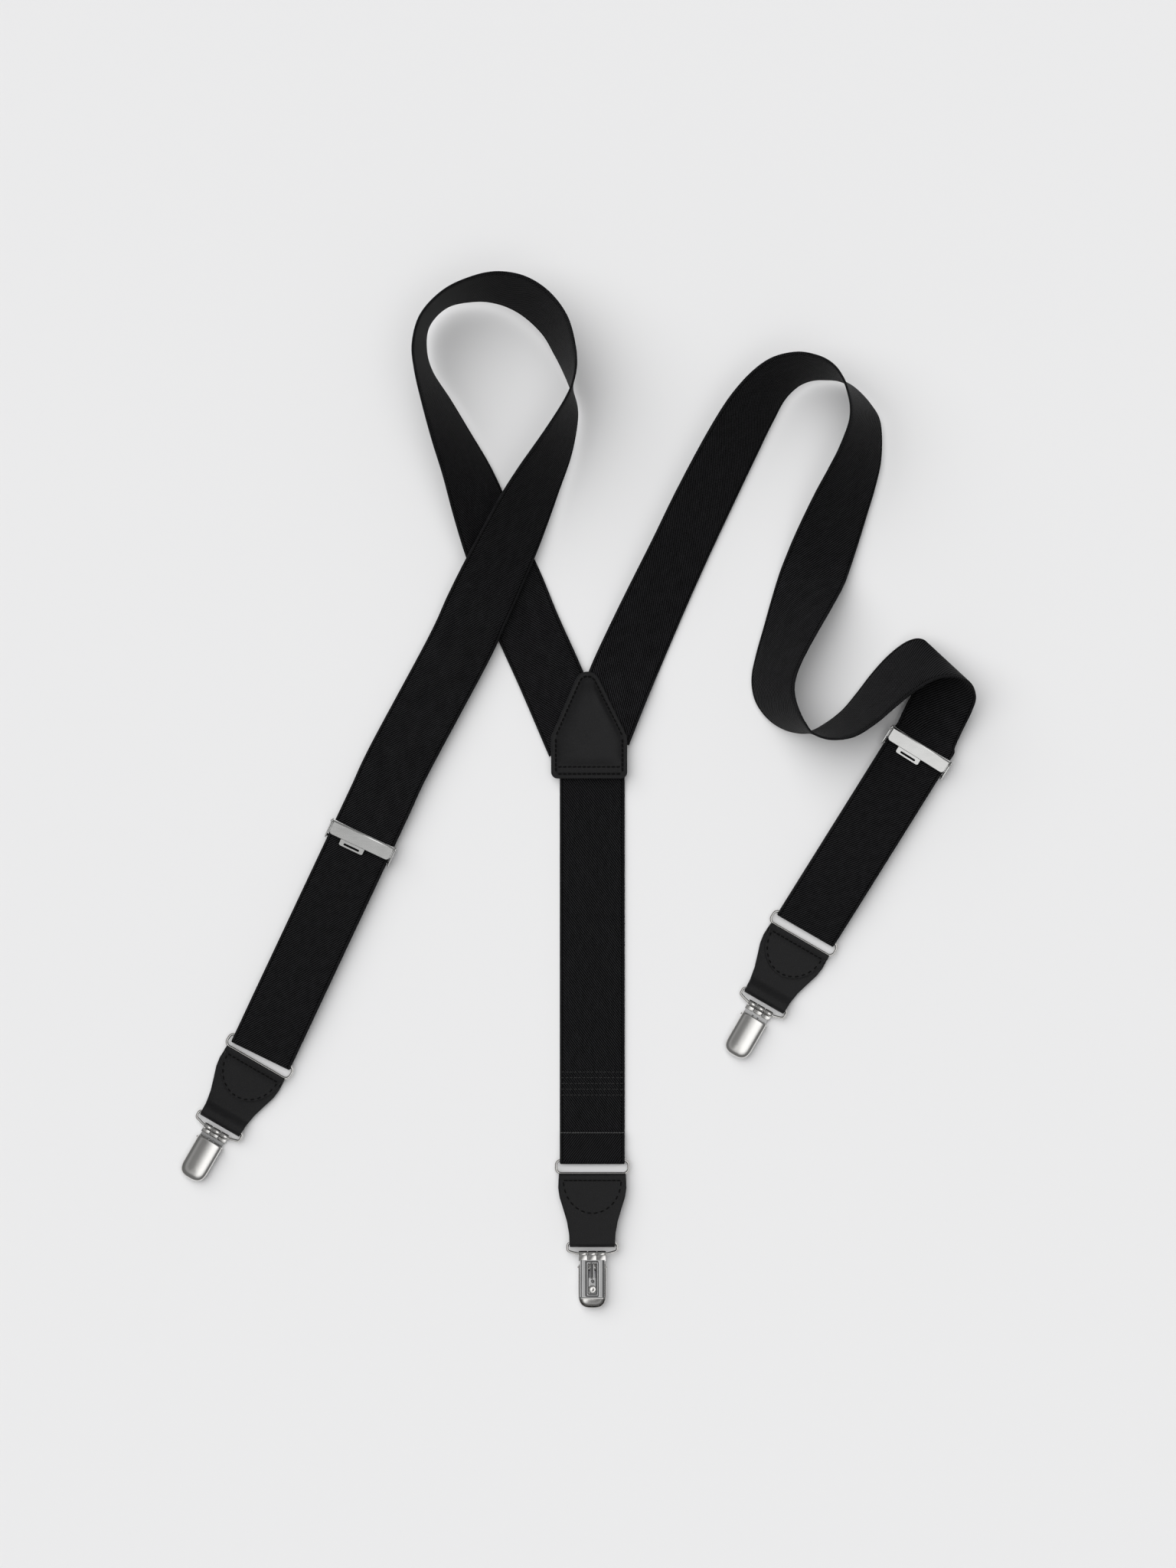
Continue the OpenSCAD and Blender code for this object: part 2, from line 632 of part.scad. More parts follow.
module adjuster_pin() {
    color("#a9aaad")
    translate([0, -lever_pin_u, lever_pin_z]) rotate([0, 90, 0])
    cylinder(r = lever_pin_r, h = frame_w + 0.8, center = true);
}

// Lever plate with its rolled hinge, gripping teeth and thumb tongue
module adjuster_lever() {
    low = -lever_pin_u - lever_h + 1.2;
    color("#c6c7c9")
    difference() {
        union() {
            translate([0, -lever_pin_u, lever_pin_z]) rotate([0, 90, 0])
            cylinder(r = 1.2, h = lever_w, center = true);
            translate([-lever_w / 2, low, lever_pin_z + 0.4])
            cube([lever_w, lever_h - 1.2, 0.8]);
            translate([-10.2, low - 3.4, lever_pin_z - 0.1]) cube([14, 3.6, 0.7]);
            translate([-10.2, low - 0.2, lever_pin_z - 0.1]) cube([14, 0.6, 1]);
            for (k = [-7 : 7])
                translate([k * 2.3, -lever_pin_u, lever_pin_z]) rotate([90, 0, 90])
                linear_extrude(1.2, center = true)
                polygon([[-1.1, 0], [-0.45, -1.22], [0.2, -1.1]]);
        }
        translate([0, -lever_pin_u, lever_pin_z]) rotate([0, 90, 0])
        cylinder(r = lever_pin_r + 0.06, h = 60, center = true);
        translate([-7.7, low - 2.4, lever_pin_z - 1]) cube([9, 1, 3]);
    }
}

// ---- the three ends ----

// The back clip lies on its domed cover, which lifts its tube above the others
back_clip_z = cover_z + 0.04;
back_tilt = asin((back_clip_z - axis_z) / wire_u);
ENDS = [
    ["left", left_bar_at, front_end_yaw],
    ["right", right_bar_at, front_end_yaw],
    ["back", back_bar_at, 0]
];

function end_of(name) = ENDS[search([name], ENDS)[0]];

// What hangs below the strap, in the frame of the ring's upper bar on the surface
module at_end(name) {
    e = end_of(name);
    in_frame(e[1], e[2]) children();
}

module at_tab(name) {
    back = name == "back";
    at_end(name) translate([0, -ring_pitch, axis_z])
    rotate([back ? -back_tilt : 0, 0, 0])
    mirror([0, 0, back ? 1 : 0]) translate([0, 0, -axis_z]) children();
}

module at_wire(name) {
    back = name == "back";
    at_end(name) translate([0, -ring_pitch - wire_u * cos(back ? back_tilt : 0), back ? back_clip_z : axis_z])
    children();
}

module at_clip(name) {
    at_wire(name) translate([0, -wire_drop, 0]) mirror([0, 0, name == "back" ? 1 : 0]) children();
}

module left_strap() {
    color("#202021") front_strap(LEFT_ROUTE, left_adjuster_at, left_yaw, [50, 25, 0]);
}

module right_strap() {
    color("#202021") front_strap(RIGHT_ROUTE, right_adjuster_at, right_yaw, [10, 5, 0]);
}

module left_strap_loop() {
    color("#242425") strap_loop(left_adjuster_at, left_yaw, left_run, front_end_yaw);
}

module right_strap_loop() {
    color("#242425") strap_loop(right_adjuster_at, right_yaw, right_run, front_end_yaw);
}

module at_adjuster(name) {
    left = name == "left";
    in_frame(left ? left_adjuster_at : right_adjuster_at, left ? left_yaw : right_yaw) children();
}

module at_ring(name) {
    at_end(name) translate([0, 0, axis_z]) children();
}

lay() patch_top();
lay() patch_bottom();
lay() patch_stitching();
lay() back_strap();
lay() back_strap_stitching();
lay() left_strap();
lay() right_strap();
lay() left_strap_loop();
lay() right_strap_loop();
lay() at_adjuster("left") adjuster_frame();  // left_adjuster_frame
lay() at_adjuster("left") adjuster_lever();  // left_adjuster_lever
lay() at_adjuster("left") adjuster_pin();  // left_adjuster_pin
lay() at_adjuster("right") adjuster_frame();  // right_adjuster_frame
lay() at_adjuster("right") adjuster_lever();  // right_adjuster_lever
lay() at_adjuster("right") adjuster_pin();  // right_adjuster_pin
lay() at_ring("back") ring();  // back_ring
lay() at_tab("back") tab();  // back_tab
lay() at_tab("back") tab_stitching(-0.25);  // back_tab_stitching
lay() at_wire("back") clip_wire();  // back_clip_wire
lay() at_clip("back") clip_body();  // back_clip_body
lay() at_clip("back") clip_cover();  // back_clip_cover
lay() at_clip("back") clip_pin();  // back_clip_pin
lay() at_clip("back") clip_spring();  // back_clip_spring
lay() at_clip("back") clip_rivet();  // back_clip_rivet
lay() at_ring("left") ring();  // left_ring
lay() at_tab("left") tab();  // left_tab
lay() at_tab("left") tab_stitching(3 * leather_t);  // left_tab_stitching
lay() at_wire("left") clip_wire();  // left_clip_wire
lay() at_clip("left") clip_body();  // left_clip_body
lay() at_clip("left") clip_cover();  // left_clip_cover
lay() at_clip("left") clip_pin();  // left_clip_pin
lay() at_clip("left") clip_spring();  // left_clip_spring
lay() at_clip("left") clip_rivet();  // left_clip_rivet
lay() at_ring("right") ring();  // right_ring
lay() at_tab("right") tab();  // right_tab
lay() at_tab("right") tab_stitching(3 * leather_t);  // right_tab_stitching
lay() at_wire("right") clip_wire();  // right_clip_wire
lay() at_clip("right") clip_body();  // right_clip_body
lay() at_clip("right") clip_cover();  // right_clip_cover
lay() at_clip("right") clip_pin();  // right_clip_pin
lay() at_clip("right") clip_spring();  // right_clip_spring
lay() at_clip("right") clip_rivet();  // right_clip_rivet
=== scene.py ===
"""Y-back suspenders lying loosely on a pale surface: webbing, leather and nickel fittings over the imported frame."""

import math

import bmesh
import bpy
import numpy as np
from mathutils import Matrix, Vector


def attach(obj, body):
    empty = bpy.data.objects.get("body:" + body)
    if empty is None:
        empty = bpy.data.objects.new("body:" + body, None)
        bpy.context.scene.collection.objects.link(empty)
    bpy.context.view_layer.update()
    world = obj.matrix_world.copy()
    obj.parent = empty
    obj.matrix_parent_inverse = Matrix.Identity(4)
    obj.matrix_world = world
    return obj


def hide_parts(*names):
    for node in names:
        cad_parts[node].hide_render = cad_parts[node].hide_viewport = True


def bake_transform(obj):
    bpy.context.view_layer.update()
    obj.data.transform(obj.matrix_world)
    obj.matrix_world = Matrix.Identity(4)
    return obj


bl_info = {
    "name": "Dress suspenders",
    "version": (1, 0, 0),
    "blender": (4, 0, 0),
    "location": "View3D > Sidebar > Suspenders",
    "description": "Builds Y-back suspenders with leather tabs, lever adjusters and clips",
    "category": "Add Mesh",
}

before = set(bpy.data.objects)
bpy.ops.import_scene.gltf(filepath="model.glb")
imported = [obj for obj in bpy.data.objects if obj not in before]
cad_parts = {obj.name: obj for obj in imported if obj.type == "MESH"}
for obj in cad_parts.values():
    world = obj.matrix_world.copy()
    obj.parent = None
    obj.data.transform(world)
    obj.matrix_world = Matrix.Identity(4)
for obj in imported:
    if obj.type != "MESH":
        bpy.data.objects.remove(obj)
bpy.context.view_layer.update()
ROOT = "straps_and_patch"
MM = 0.001

# ---- layout: the same stations, in millimetres, that the frame was made from ----

ORIGIN_SHIFT = Vector((-2.2, -0.9, 0.0))
HALF_T = 0.7
AXIS_Z = HALF_T + 1.65
FOLD_R = 1.65
LIFT_Z = 5.5
FRONT_END_YAW = 30.0
BACK_X, BACK_TOP_Y, BACK_BAR_Y, BACK_TAIL_Y = 9.7, 19.0, -196.8, -181.8
RING_PITCH = 7.3
FRAME_BAR_U = 4.0
FRONTS = {
    "left": {"at": (-115.0, -25.5), "yaw": 25.2, "run": 124.0, "straight": (50, 25, 0)},
    "right": {"at": (184.5, 23.0), "yaw": 32.0, "run": 111.4, "straight": (10, 5, 0)},
}

# Outer edge and inner edge of the free part of each front strap, from the patch onwards
LEFT_ROUTE = [
    ((-13.5, 20.5, 2), (18.5, 34.5, 2)),
    ((-29, 57, 2), (3, 70.5, 2.1)),
    ((-41, 83.5, 1.4), (-9, 97.5, 1.2)),
    ((-49.5, 106, 5), (-18, 118.5, 0.8)),
    ((-57.5, 128, 12), (-28, 139, 0.9)),
    ((-64, 150, 19), (-37, 158, 1.6)),
    ((-69.5, 171, 25), (-46, 177, 2.6)),
    ((-75.5, 190, 31), (-56.5, 195, 4)),
    ((-80.5, 208, 36), (-66.5, 212, 5)),
    ((-84.5, 226, 39.5), (-76.5, 227.5, 6)),
    ((-85.5, 240, 41), (-79.8, 240, 7)),
    ((-81, 255, 42), (-78, 252.5, 7.5)),
    ((-69, 267.5, 42), (-68, 262.5, 8)),
    ((-54, 274.7, 41), (-53, 265.5, 8)),
    ((-40, 277.5, 40), (-41.5, 264.2, 8)),
    ((-25.5, 275, 39.3), (-31.5, 260, 8)),
    ((-13, 266.8, 39), (-23, 253.8, 8)),
    ((-4, 254.5, 39), (-16, 246.5, 7.5)),
    ((0, 241, 39.5), (-11, 238, 7)),
    ((1.2, 229.5, 40), (-6.3, 229, 6)),
    ((-0.5, 219.5, 39.5), (-2, 219.2, 5)),
    ((-4.2, 211, 38.5), (1.3, 209, 4.5)),
    ((-10.5, 201, 36.5), (1.2, 198.5, 4)),
    ((-19, 189, 33), (-2, 182, 3.6)),
    ((-29.5, 174.5, 28.5), (-8.5, 163.5, 3.6)),
    ((-38.5, 161, 24.5), (-13.5, 149, 4)),
    ((-48, 144.5, 20), (-20, 131.5, 4.8)),
    ((-57.5, 127.2, 15.5), (-27.5, 113.5, 5.4)),
    ((-68, 106.5, 8.5), (-37, 92.5, 5.5)),
    ((-79, 84, 5.7), (-47, 70, 5.5)),
]
RIGHT_ROUTE = [
    ((-3, 40, 3.5), (29.5, 26.5, 3.5)),
    ((8, 66.5, 3.7), (39.5, 52.5, 3.1)),
    ((16, 83, 6.5), (46, 69.5, 1)),
    ((28.5, 109.5, 12), (57.5, 95.5, 0.9)),
    ((41.5, 136, 16), (70, 123, 1)),
    ((55, 164, 17.5), (83, 150.5, 1.2)),
    ((72, 195.5, 21.5), (98, 182, 2)),
    ((85.5, 216, 26.5), (107, 200.5, 3)),
    ((101.5, 230.8, 31.5), (113, 212, 4)),
    ((117, 235.2, 36), (120, 219.5, 5)),
    ((129.5, 233, 38.5), (127.5, 223, 5.5)),
    ((137.5, 228.3, 39.5), (135.5, 223.6, 5.5)),
    ((142.5, 221.5, 39.5), (143.3, 222.8, 5)),
    ((145.3, 214, 39), (151, 218.8, 4.8)),
    ((146.8, 206, 37), (159.3, 210.3, 4.5)),
    ((146, 197.5, 33.5), (164.8, 200, 4.2)),
    ((141.5, 185.5, 28.5), (165.2, 180.5, 3.5)),
    ((135.5, 173.5, 23.5), (161.7, 164.5, 2.8)),
    ((129, 161.5, 18.5), (157.5, 150.3, 2.4)),
    ((119, 139.5, 9.5), (150, 127.5, 3)),
    ((114, 126.5, 5), (145.3, 115, 6)),
    ((109.5, 113.5, 3), (139.3, 103.8, 14)),
    ((103, 93, 2), (129.2, 85.5, 23.5)),
    ((98.2, 76, 1.8), (121.2, 70.5, 27.5)),
    ((95.8, 63.5, 1.7), (117.8, 61, 28.5)),
    ((97, 53, 1.7), (117.3, 54.5, 29.5)),
    ((101.2, 44.8, 1.7), (118.5, 48.5, 31.5)),
    ((108, 38.2, 1.7), (120.5, 43, 34)),
    ((116.8, 34.3, 1.7), (122.8, 38.2, 35.7)),
    ((126.5, 33.7, 1.7), (127, 32.8, 36.5)),
    ((135.5, 38.3, 1.7), (136.5, 29.6, 35.5)),
    ((144.5, 45.5, 1.7), (149, 31, 33.5)),
    ((152.5, 55, 1.8), (161, 38.3, 31.3)),
    ((160.5, 65.3, 2), (172.5, 48, 29.5)),
    ((169, 74.5, 3), (183.5, 56.7, 28.5)),
    ((177.5, 80.5, 6), (193, 62.5, 28)),
    ((185, 82.2, 10), (202, 64.3, 26)),
    ((190.5, 80, 13), (209.5, 61.5, 21.5)),
    ((191.8, 75, 12), (214, 53.5, 15)),
    ((189.5, 69, 8), (213.2, 45.5, 10.5)),
    ((185.5, 61, 6), (209.5, 36, 7.3)),
    ((179, 49, 5.6), (205, 26, 5.8)),
]
ROUTES = {"left": LEFT_ROUTE, "right": RIGHT_ROUTE}


# ---- settings a user would change ----


class WebbingSettings(bpy.types.PropertyGroup):
    """Sizes and colour of the woven straps"""

    width: bpy.props.FloatProperty(name="Width", description="Width of the strap", default=0.035, unit="LENGTH")
    thickness: bpy.props.FloatProperty(name="Thickness", description="Thickness of the strap",
                                       default=0.00135, unit="LENGTH")
    twill_pitch: bpy.props.FloatProperty(name="Twill pitch",
                                         description="Distance between two ribs of the twill",
                                         default=0.00106, unit="LENGTH")
    twill_angle: bpy.props.FloatProperty(name="Twill angle", description="Slope of the ribs against the weft",
                                         default=math.radians(54), subtype="ANGLE")
    rib_height: bpy.props.FloatProperty(name="Rib height", description="Depth of the weave", default=0.00022,
                                        unit="LENGTH")
    colour: bpy.props.FloatVectorProperty(name="Colour", description="Colour of the yarn",
                                          default=(0.0042, 0.0042, 0.0045), subtype="COLOR", size=3)


class LeatherSettings(bpy.types.PropertyGroup):
    """Sizes and colour of the patch and the tabs"""

    thickness: bpy.props.FloatProperty(name="Thickness", description="Thickness of one layer",
                                       default=0.00118, unit="LENGTH")
    puff: bpy.props.FloatProperty(name="Puff", description="How far the middle of the patch stands up",
                                  default=0.0016, unit="LENGTH")
    stitch_length: bpy.props.FloatProperty(name="Stitch length", description="Visible length of one stitch",
                                           default=0.0021, unit="LENGTH")
    thread: bpy.props.FloatProperty(name="Thread", description="Diameter of the sewing thread",
                                    default=0.0007, unit="LENGTH")
    colour: bpy.props.FloatVectorProperty(name="Colour", description="Colour of the leather",
                                          default=(0.0062, 0.0062, 0.0066), subtype="COLOR", size=3)


class FittingSettings(bpy.types.PropertyGroup):
    """Finish of the rings, clips and adjusters"""

    wire: bpy.props.FloatProperty(name="Ring wire", description="Diameter of the ring's wire", default=0.0016,
                                  unit="LENGTH")
    bevel: bpy.props.FloatProperty(name="Edge rounding", description="Rounding of cut metal edges",
                                   default=0.00014, unit="LENGTH")
    bright: bpy.props.FloatVectorProperty(name="Bright nickel", description="Colour of the polished plating",
                                          default=(0.80, 0.79, 0.77), subtype="COLOR", size=3)
    satin: bpy.props.FloatVectorProperty(name="Satin nickel", description="Colour of the brushed plating",
                                         default=(0.80, 0.80, 0.79), subtype="COLOR", size=3)


class StageSettings(bpy.types.PropertyGroup):
    """Surface, light and camera"""

    floor: bpy.props.FloatVectorProperty(name="Surface", description="Colour of the surface underneath",
                                         default=(0.86, 0.86, 0.865), subtype="COLOR", size=3)
    key: bpy.props.FloatProperty(name="Main light",
                                 description="Strength of the soft light from the upper left", default=2.50)
    room: bpy.props.FloatProperty(name="Room light", description="Strength of the even light all round",
                                  default=1.0)
    ceiling: bpy.props.FloatProperty(name="Ceiling", description="Brightness of the ceiling straight above",
                                     default=0.60)
    ceiling_slope: bpy.props.FloatProperty(name="Ceiling slope",
                                           description="How fast the ceiling brightens to the right",
                                           default=4.0)
    camera_height: bpy.props.FloatProperty(name="Camera height",
                                           description="Height of the camera above the surface", default=2.35,
                                           unit="LENGTH")


def settings(kind):
    return getattr(bpy.context.scene, "suspenders_" + kind)


# ---- curves, places and frames ----


def spline(points, steps):
    """Points on a smooth run through the given ones, with so many to each stretch."""
    p = [Vector(q) for q in points]
    n = len(p)
    out = []
    for i in range(n - 1):
        a, b, c, d = p[max(i - 1, 0)], p[i], p[i + 1], p[min(i + 2, n - 1)]
        for k in range(steps):
            t = k / steps
            out.append(0.5 * (2 * b + (c - a) * t + (2 * a - 5 * b + 4 * c - d) * t * t + (3 * b - a - 3 * c + d) * t ** 3))
    out.append(p[-1])
    return out


def spread(a, b, n):
    """n evenly spaced values from a to b."""
    return [a + (b - a) * k / (n - 1) for k in range(n)]


def smoothstep(t):
    t = min(1.0, max(0.0, t))
    return t * t * (3 - 2 * t)


def outward(yaw):
    a = math.radians(yaw)
    return Vector((-math.sin(a), -math.cos(a), 0))


def across(yaw):
    a = math.radians(yaw)
    return Vector((math.cos(a), -math.sin(a), 0))


def cross_line(at, yaw, z, half=17.5):
    m = Vector((at[0], at[1], z))
    return m - half * across(yaw), m + half * across(yaw)


def place(x, y, yaw=0.0, z=0.0):
    """From a strap end's own frame, in millimetres, to the row frame, in metres."""
    return Matrix.Scale(MM, 4) @ Matrix.Translation(ORIGIN_SHIFT + Vector((x, y,
            z))) @ Matrix.Rotation(math.radians(-yaw), 4, "Z")


def bar_at(side):
    """The ring's upper bar: its middle and the way it points."""
    if side == "back":
        return Vector((BACK_X, BACK_BAR_Y, 0)), 0.0
    f = FRONTS[side]
    return Vector((*f["at"], 0)) + f["run"] * outward(f["yaw"]), FRONT_END_YAW


TAB_L = 42.0
TAB_FOLD_R = 2.35
WIRE_U = TAB_L - 2 * TAB_FOLD_R
WIRE_DROP, WIRE_STRAIGHT = 5.9, 4.4
BACK_CLIP_Z = 3.44
BACK_TILT = math.asin((BACK_CLIP_Z - AXIS_Z) / WIRE_U)


def end_frame(side, z=0.0):
    at, yaw = bar_at(side)
    return place(at.x, at.y, yaw, z)


def tab_frame(side):
    m = end_frame(side) @ Matrix.Translation((0, -RING_PITCH, AXIS_Z))
    if side == "back":
        m = m @ Matrix.Rotation(-BACK_TILT, 4, "X") @ Matrix.Scale(-1, 4, (0, 0, 1))
    return m @ Matrix.Translation((0, 0, -AXIS_Z))


def wire_frame(side):
    back = side == "back"
    drop = WIRE_U * math.cos(BACK_TILT if back else 0.0)
    return end_frame(side) @ Matrix.Translation((0, -RING_PITCH - drop, BACK_CLIP_Z if back else AXIS_Z))


def clip_frame(side):
    m = wire_frame(side) @ Matrix.Translation((0, -WIRE_DROP, 0))
    return m @ Matrix.Scale(-1, 4, (0, 0, 1)) if side == "back" else m


def adjuster_frame_matrix(side):
    f = FRONTS[side]
    return place(f["at"][0], f["at"][1], f["yaw"])


# ---- mesh helpers ----


def add_object(name, verts, faces, material, uvs=None, smooth=True, matrix=None):
    """A mesh object in the row frame; uvs holds one (u, v) for each corner of each face."""
    mesh = bpy.data.meshes.new(name)
    mesh.from_pydata([tuple(v) for v in verts], [], [tuple(f) for f in faces])
    if uvs is not None:
        layer = mesh.uv_layers.new(name="UVMap")
        layer.data.foreach_set("uv", np.array(uvs, np.float32).ravel())
    if matrix is not None:
        mesh.transform(matrix)
        if matrix.determinant() < 0:
            mesh.flip_normals()
    bm = bmesh.new()
    bm.from_mesh(mesh)
    bmesh.ops.recalc_face_normals(bm, faces=bm.faces)
    bm.to_mesh(mesh)
    bm.free()
    mesh.shade_smooth() if smooth else None
    mesh.materials.append(material)
    obj = bpy.data.objects.new(name, mesh)
    bpy.context.scene.collection.objects.link(obj)
    return obj


def apply_modifiers(obj):
    """Bakes the object's modifiers into its mesh."""
    bpy.context.view_layer.update()
    evaluated = obj.evaluated_get(bpy.context.evaluated_depsgraph_get())
    mesh = bpy.data.meshes.new_from_object(evaluated)
    obj.modifiers.clear()
    obj.data = mesh
    return obj


def round_edges(obj, width, angle=35, segments=2):
    """Rounds cut edges and keeps flat faces flat."""
    bevel = obj.modifiers.new("Edges", "BEVEL")
    bevel.width = width
    bevel.segments = segments
    bevel.limit_method = "ANGLE"
    bevel.angle_limit = math.radians(angle)
    bevel.harden_normals = False
    apply_modifiers(obj)
    obj.data.shade_smooth()
    obj.data.set_sharp_from_angle(angle=math.radians(40))
    for face in obj.data.polygons:
        face.use_smooth = max(abs(c) for c in face.normal) < 0.9995
    return obj


def joined(parts, name):
    """One object made of several."""
    bpy.ops.object.select_all(action="DESELECT")
    for p in parts:
        p.select_set(True)
    bpy.context.view_layer.objects.active = parts[0]
    if len(parts) > 1:
        bpy.ops.object.join()
    parts[0].name = name
    parts[0].data.name = name
    return parts[0]


def section(half_w, half_t, selvedge):
    """Closed outline of a strap's cross-section: rounded edges and a fine groove inside each one."""
    if selvedge:
        side = [(1.0, 0.0, 0.0), (0.0, -0.18, 0.62), (0.0, -0.55, 0.95), (0.0, -1.25, 1.0), (0.0, -1.55, 0.84),
                (0.0, -1.85, 0.98), (0.0, -4.0, 1.0)]
        upper = [(half_w + s[1], half_t * s[2]) for s in side]
    else:
        upper = [(half_w, 0.0), (half_w - 0.12, 0.55 * half_t), (half_w - 0.4, 0.92 * half_t),
                 (half_w - 0.9, half_t),
                 (half_w - 4, half_t)]
    middle = [(x * half_w, half_t) for x in (0.5, 0.25, 0.0)]
    right = upper + middle
    top = right + [(-x, z) for x, z in reversed(right[:-1])]
    bottom = [(x, -z) for x, z in reversed(top[1:-1])]
    return top + bottom


def strap_mesh(name, lines, width, thickness, material, selvedge=True, widths=None, towards=1, matrix=None):
    """A strap along cross lines [(one edge, other edge)] in millimetres, with its width and length as UVs in metres.
    towards is -1 where the lines run up from the patch, so that the weave slants the same way on every strap."""
    n = len(lines)
    mid = [(a + b) / 2 for a, b in lines]
    side = [(b - a).normalized() for a, b in lines]
    along = [(mid[min(i + 1, n - 1)] - mid[max(i - 1, 0)]).normalized() for i in range(n)]
    up = [side[i].cross(along[i]).normalized() for i in range(n)]
    length = [0.0]
    for i in range(1, n):
        length.append(length[-1] + (mid[i] - mid[i - 1]).length)
    outline = section(width / 2, thickness / 2, selvedge)
    m = len(outline)
    verts, faces, uvs = [], [], []
    for i in range(n):
        k = widths[i] / width if widths else 1.0
        for x, z in outline:
            verts.append(mid[i] + side[i] * x * k + up[i] * z)
    for i in range(n - 1):
        for j in range(m):
            jn = (j + 1) % m
            faces.append((i * m + j, i * m + jn, (i + 1) * m + jn, (i + 1) * m + j))
            for a, b in ((i, j), (i, jn), (i + 1, jn), (i + 1, j)):
                uvs.append((outline[b][0] * MM, towards * length[a] * MM))
    for i in (0, n - 1):
        ring = [i * m + j for j in range(m)]
        faces.append(ring)
        uvs.extend([(outline[j][0] * MM, towards * length[i] * MM) for j in range(m)])
    return add_object(name, verts, faces, material, uvs, matrix=matrix or place(0, 0))


def tube_mesh(name, path, radius, material, closed=False, sides=20, matrix=None):
    """Round wire along a path; the frame turns with the path without twisting."""
    p = [Vector(q) for q in path]
    n = len(p)
    verts, faces = [], []
    normal = None
    for i in range(n):
        before = p[(i - 1) % n] if closed or i else p[i]
        after = p[(i + 1) % n] if closed or i < n - 1 else p[i]
        t = (after - before).normalized()
        if normal is None:
            normal = t.orthogonal().normalized()
        normal = (normal - normal.dot(t) * t).normalized()
        other = t.cross(normal)
        for k in range(sides):
            a = 2 * math.pi * k / sides
            verts.append(p[i] + radius * (math.cos(a) * normal + math.sin(a) * other))
    for i in range(n if closed else n - 1):
        j = (i + 1) % n
        for k in range(sides):
            m = (k + 1) % sides
            faces.append((i * sides + k, i * sides + m, j * sides + m, j * sides + k))
    if not closed:
        faces.append(tuple(range(sides)))
        faces.append(tuple((n - 1) * sides + k for k in range(sides)))
    return add_object(name, verts, faces, material, matrix=matrix)


def bar_mesh(name, length, radius, material, matrix, hole=0.0, sides=40):
    """A round bar or tube along x, with softened ends."""
    soft = min(0.12, radius * 0.3)
    profile = [(-length / 2, hole or 0.0), (-length / 2, radius - soft), (-length / 2 + soft, radius),
               (length / 2 - soft, radius), (length / 2, radius - soft), (length / 2, hole or 0.0)]
    verts, faces = [], []
    for x, r in profile:
        for k in range(sides):
            a = 2 * math.pi * k / sides
            verts.append((x, r * math.cos(a), r * math.sin(a)))
    n = len(profile)
    loops = n if hole else n - 1
    for i in range(loops):
        j = (i + 1) % n
        for k in range(sides):
            m = (k + 1) % sides
            faces.append((i * sides + k, i * sides + m, j * sides + m, j * sides + k))
    obj = add_object(name, verts, faces, material, matrix=matrix)
    bm = bmesh.new()
    bm.from_mesh(obj.data)
    bmesh.ops.remove_doubles(bm, verts=bm.verts, dist=1e-7)
    bmesh.ops.recalc_face_normals(bm, faces=bm.faces)
    bm.to_mesh(obj.data)
    bm.free()
    obj.data.shade_smooth()
    obj.data.set_sharp_from_angle(angle=math.radians(50))
    return obj


def plate_mesh(name, outline, z0, z1, material, matrix, bevel=0.14, holes=()):
    """A flat plate cut to an outline in the xy plane, with rounded edges."""
    bm = bmesh.new()
    rims = []
    for loop in [outline, *holes]:
        vs = [bm.verts.new((x, y, z0)) for x, y in loop]
        rims += [bm.edges.new((vs[i], vs[(i + 1) % len(vs)])) for i in range(len(vs))]
    bmesh.ops.triangle_fill(bm, use_beauty=True, use_dissolve=True, edges=rims)
    top = bmesh.ops.extrude_face_region(bm, geom=list(bm.faces))
    bmesh.ops.translate(bm, verts=[v for v in top["geom"] if isinstance(v, bmesh.types.BMVert)],
                        vec=(0, 0, z1 - z0))
    bmesh.ops.recalc_face_normals(bm, faces=bm.faces)
    mesh = bpy.data.meshes.new(name)
    bm.to_mesh(mesh)
    bm.free()
    mesh.materials.append(material)
    obj = bpy.data.objects.new(name, mesh)
    bpy.context.scene.collection.objects.link(obj)
    if bevel:
        round_edges(obj, bevel)
    obj.data.transform(matrix)
    if matrix.determinant() < 0:
        obj.data.flip_normals()
    return obj


def arc(cx, cy, r, a0, a1, n=8):
    return [(cx + r * math.cos(math.radians(a0 + (a1 - a0) * k / n)),
             cy + r * math.sin(math.radians(a0 + (a1 - a0) * k / n)))
            for k in range(n + 1)]


def rounded_box(x0, y0, x1, y1, r):
    return (arc(x0 + r, y0 + r, r, 180, 270, 4) + arc(x1 - r, y0 + r, r, 270, 360, 4)
            + arc(x1 - r, y1 - r, r, 0, 90, 4) + arc(x0 + r, y1 - r, r, 90, 180, 4))


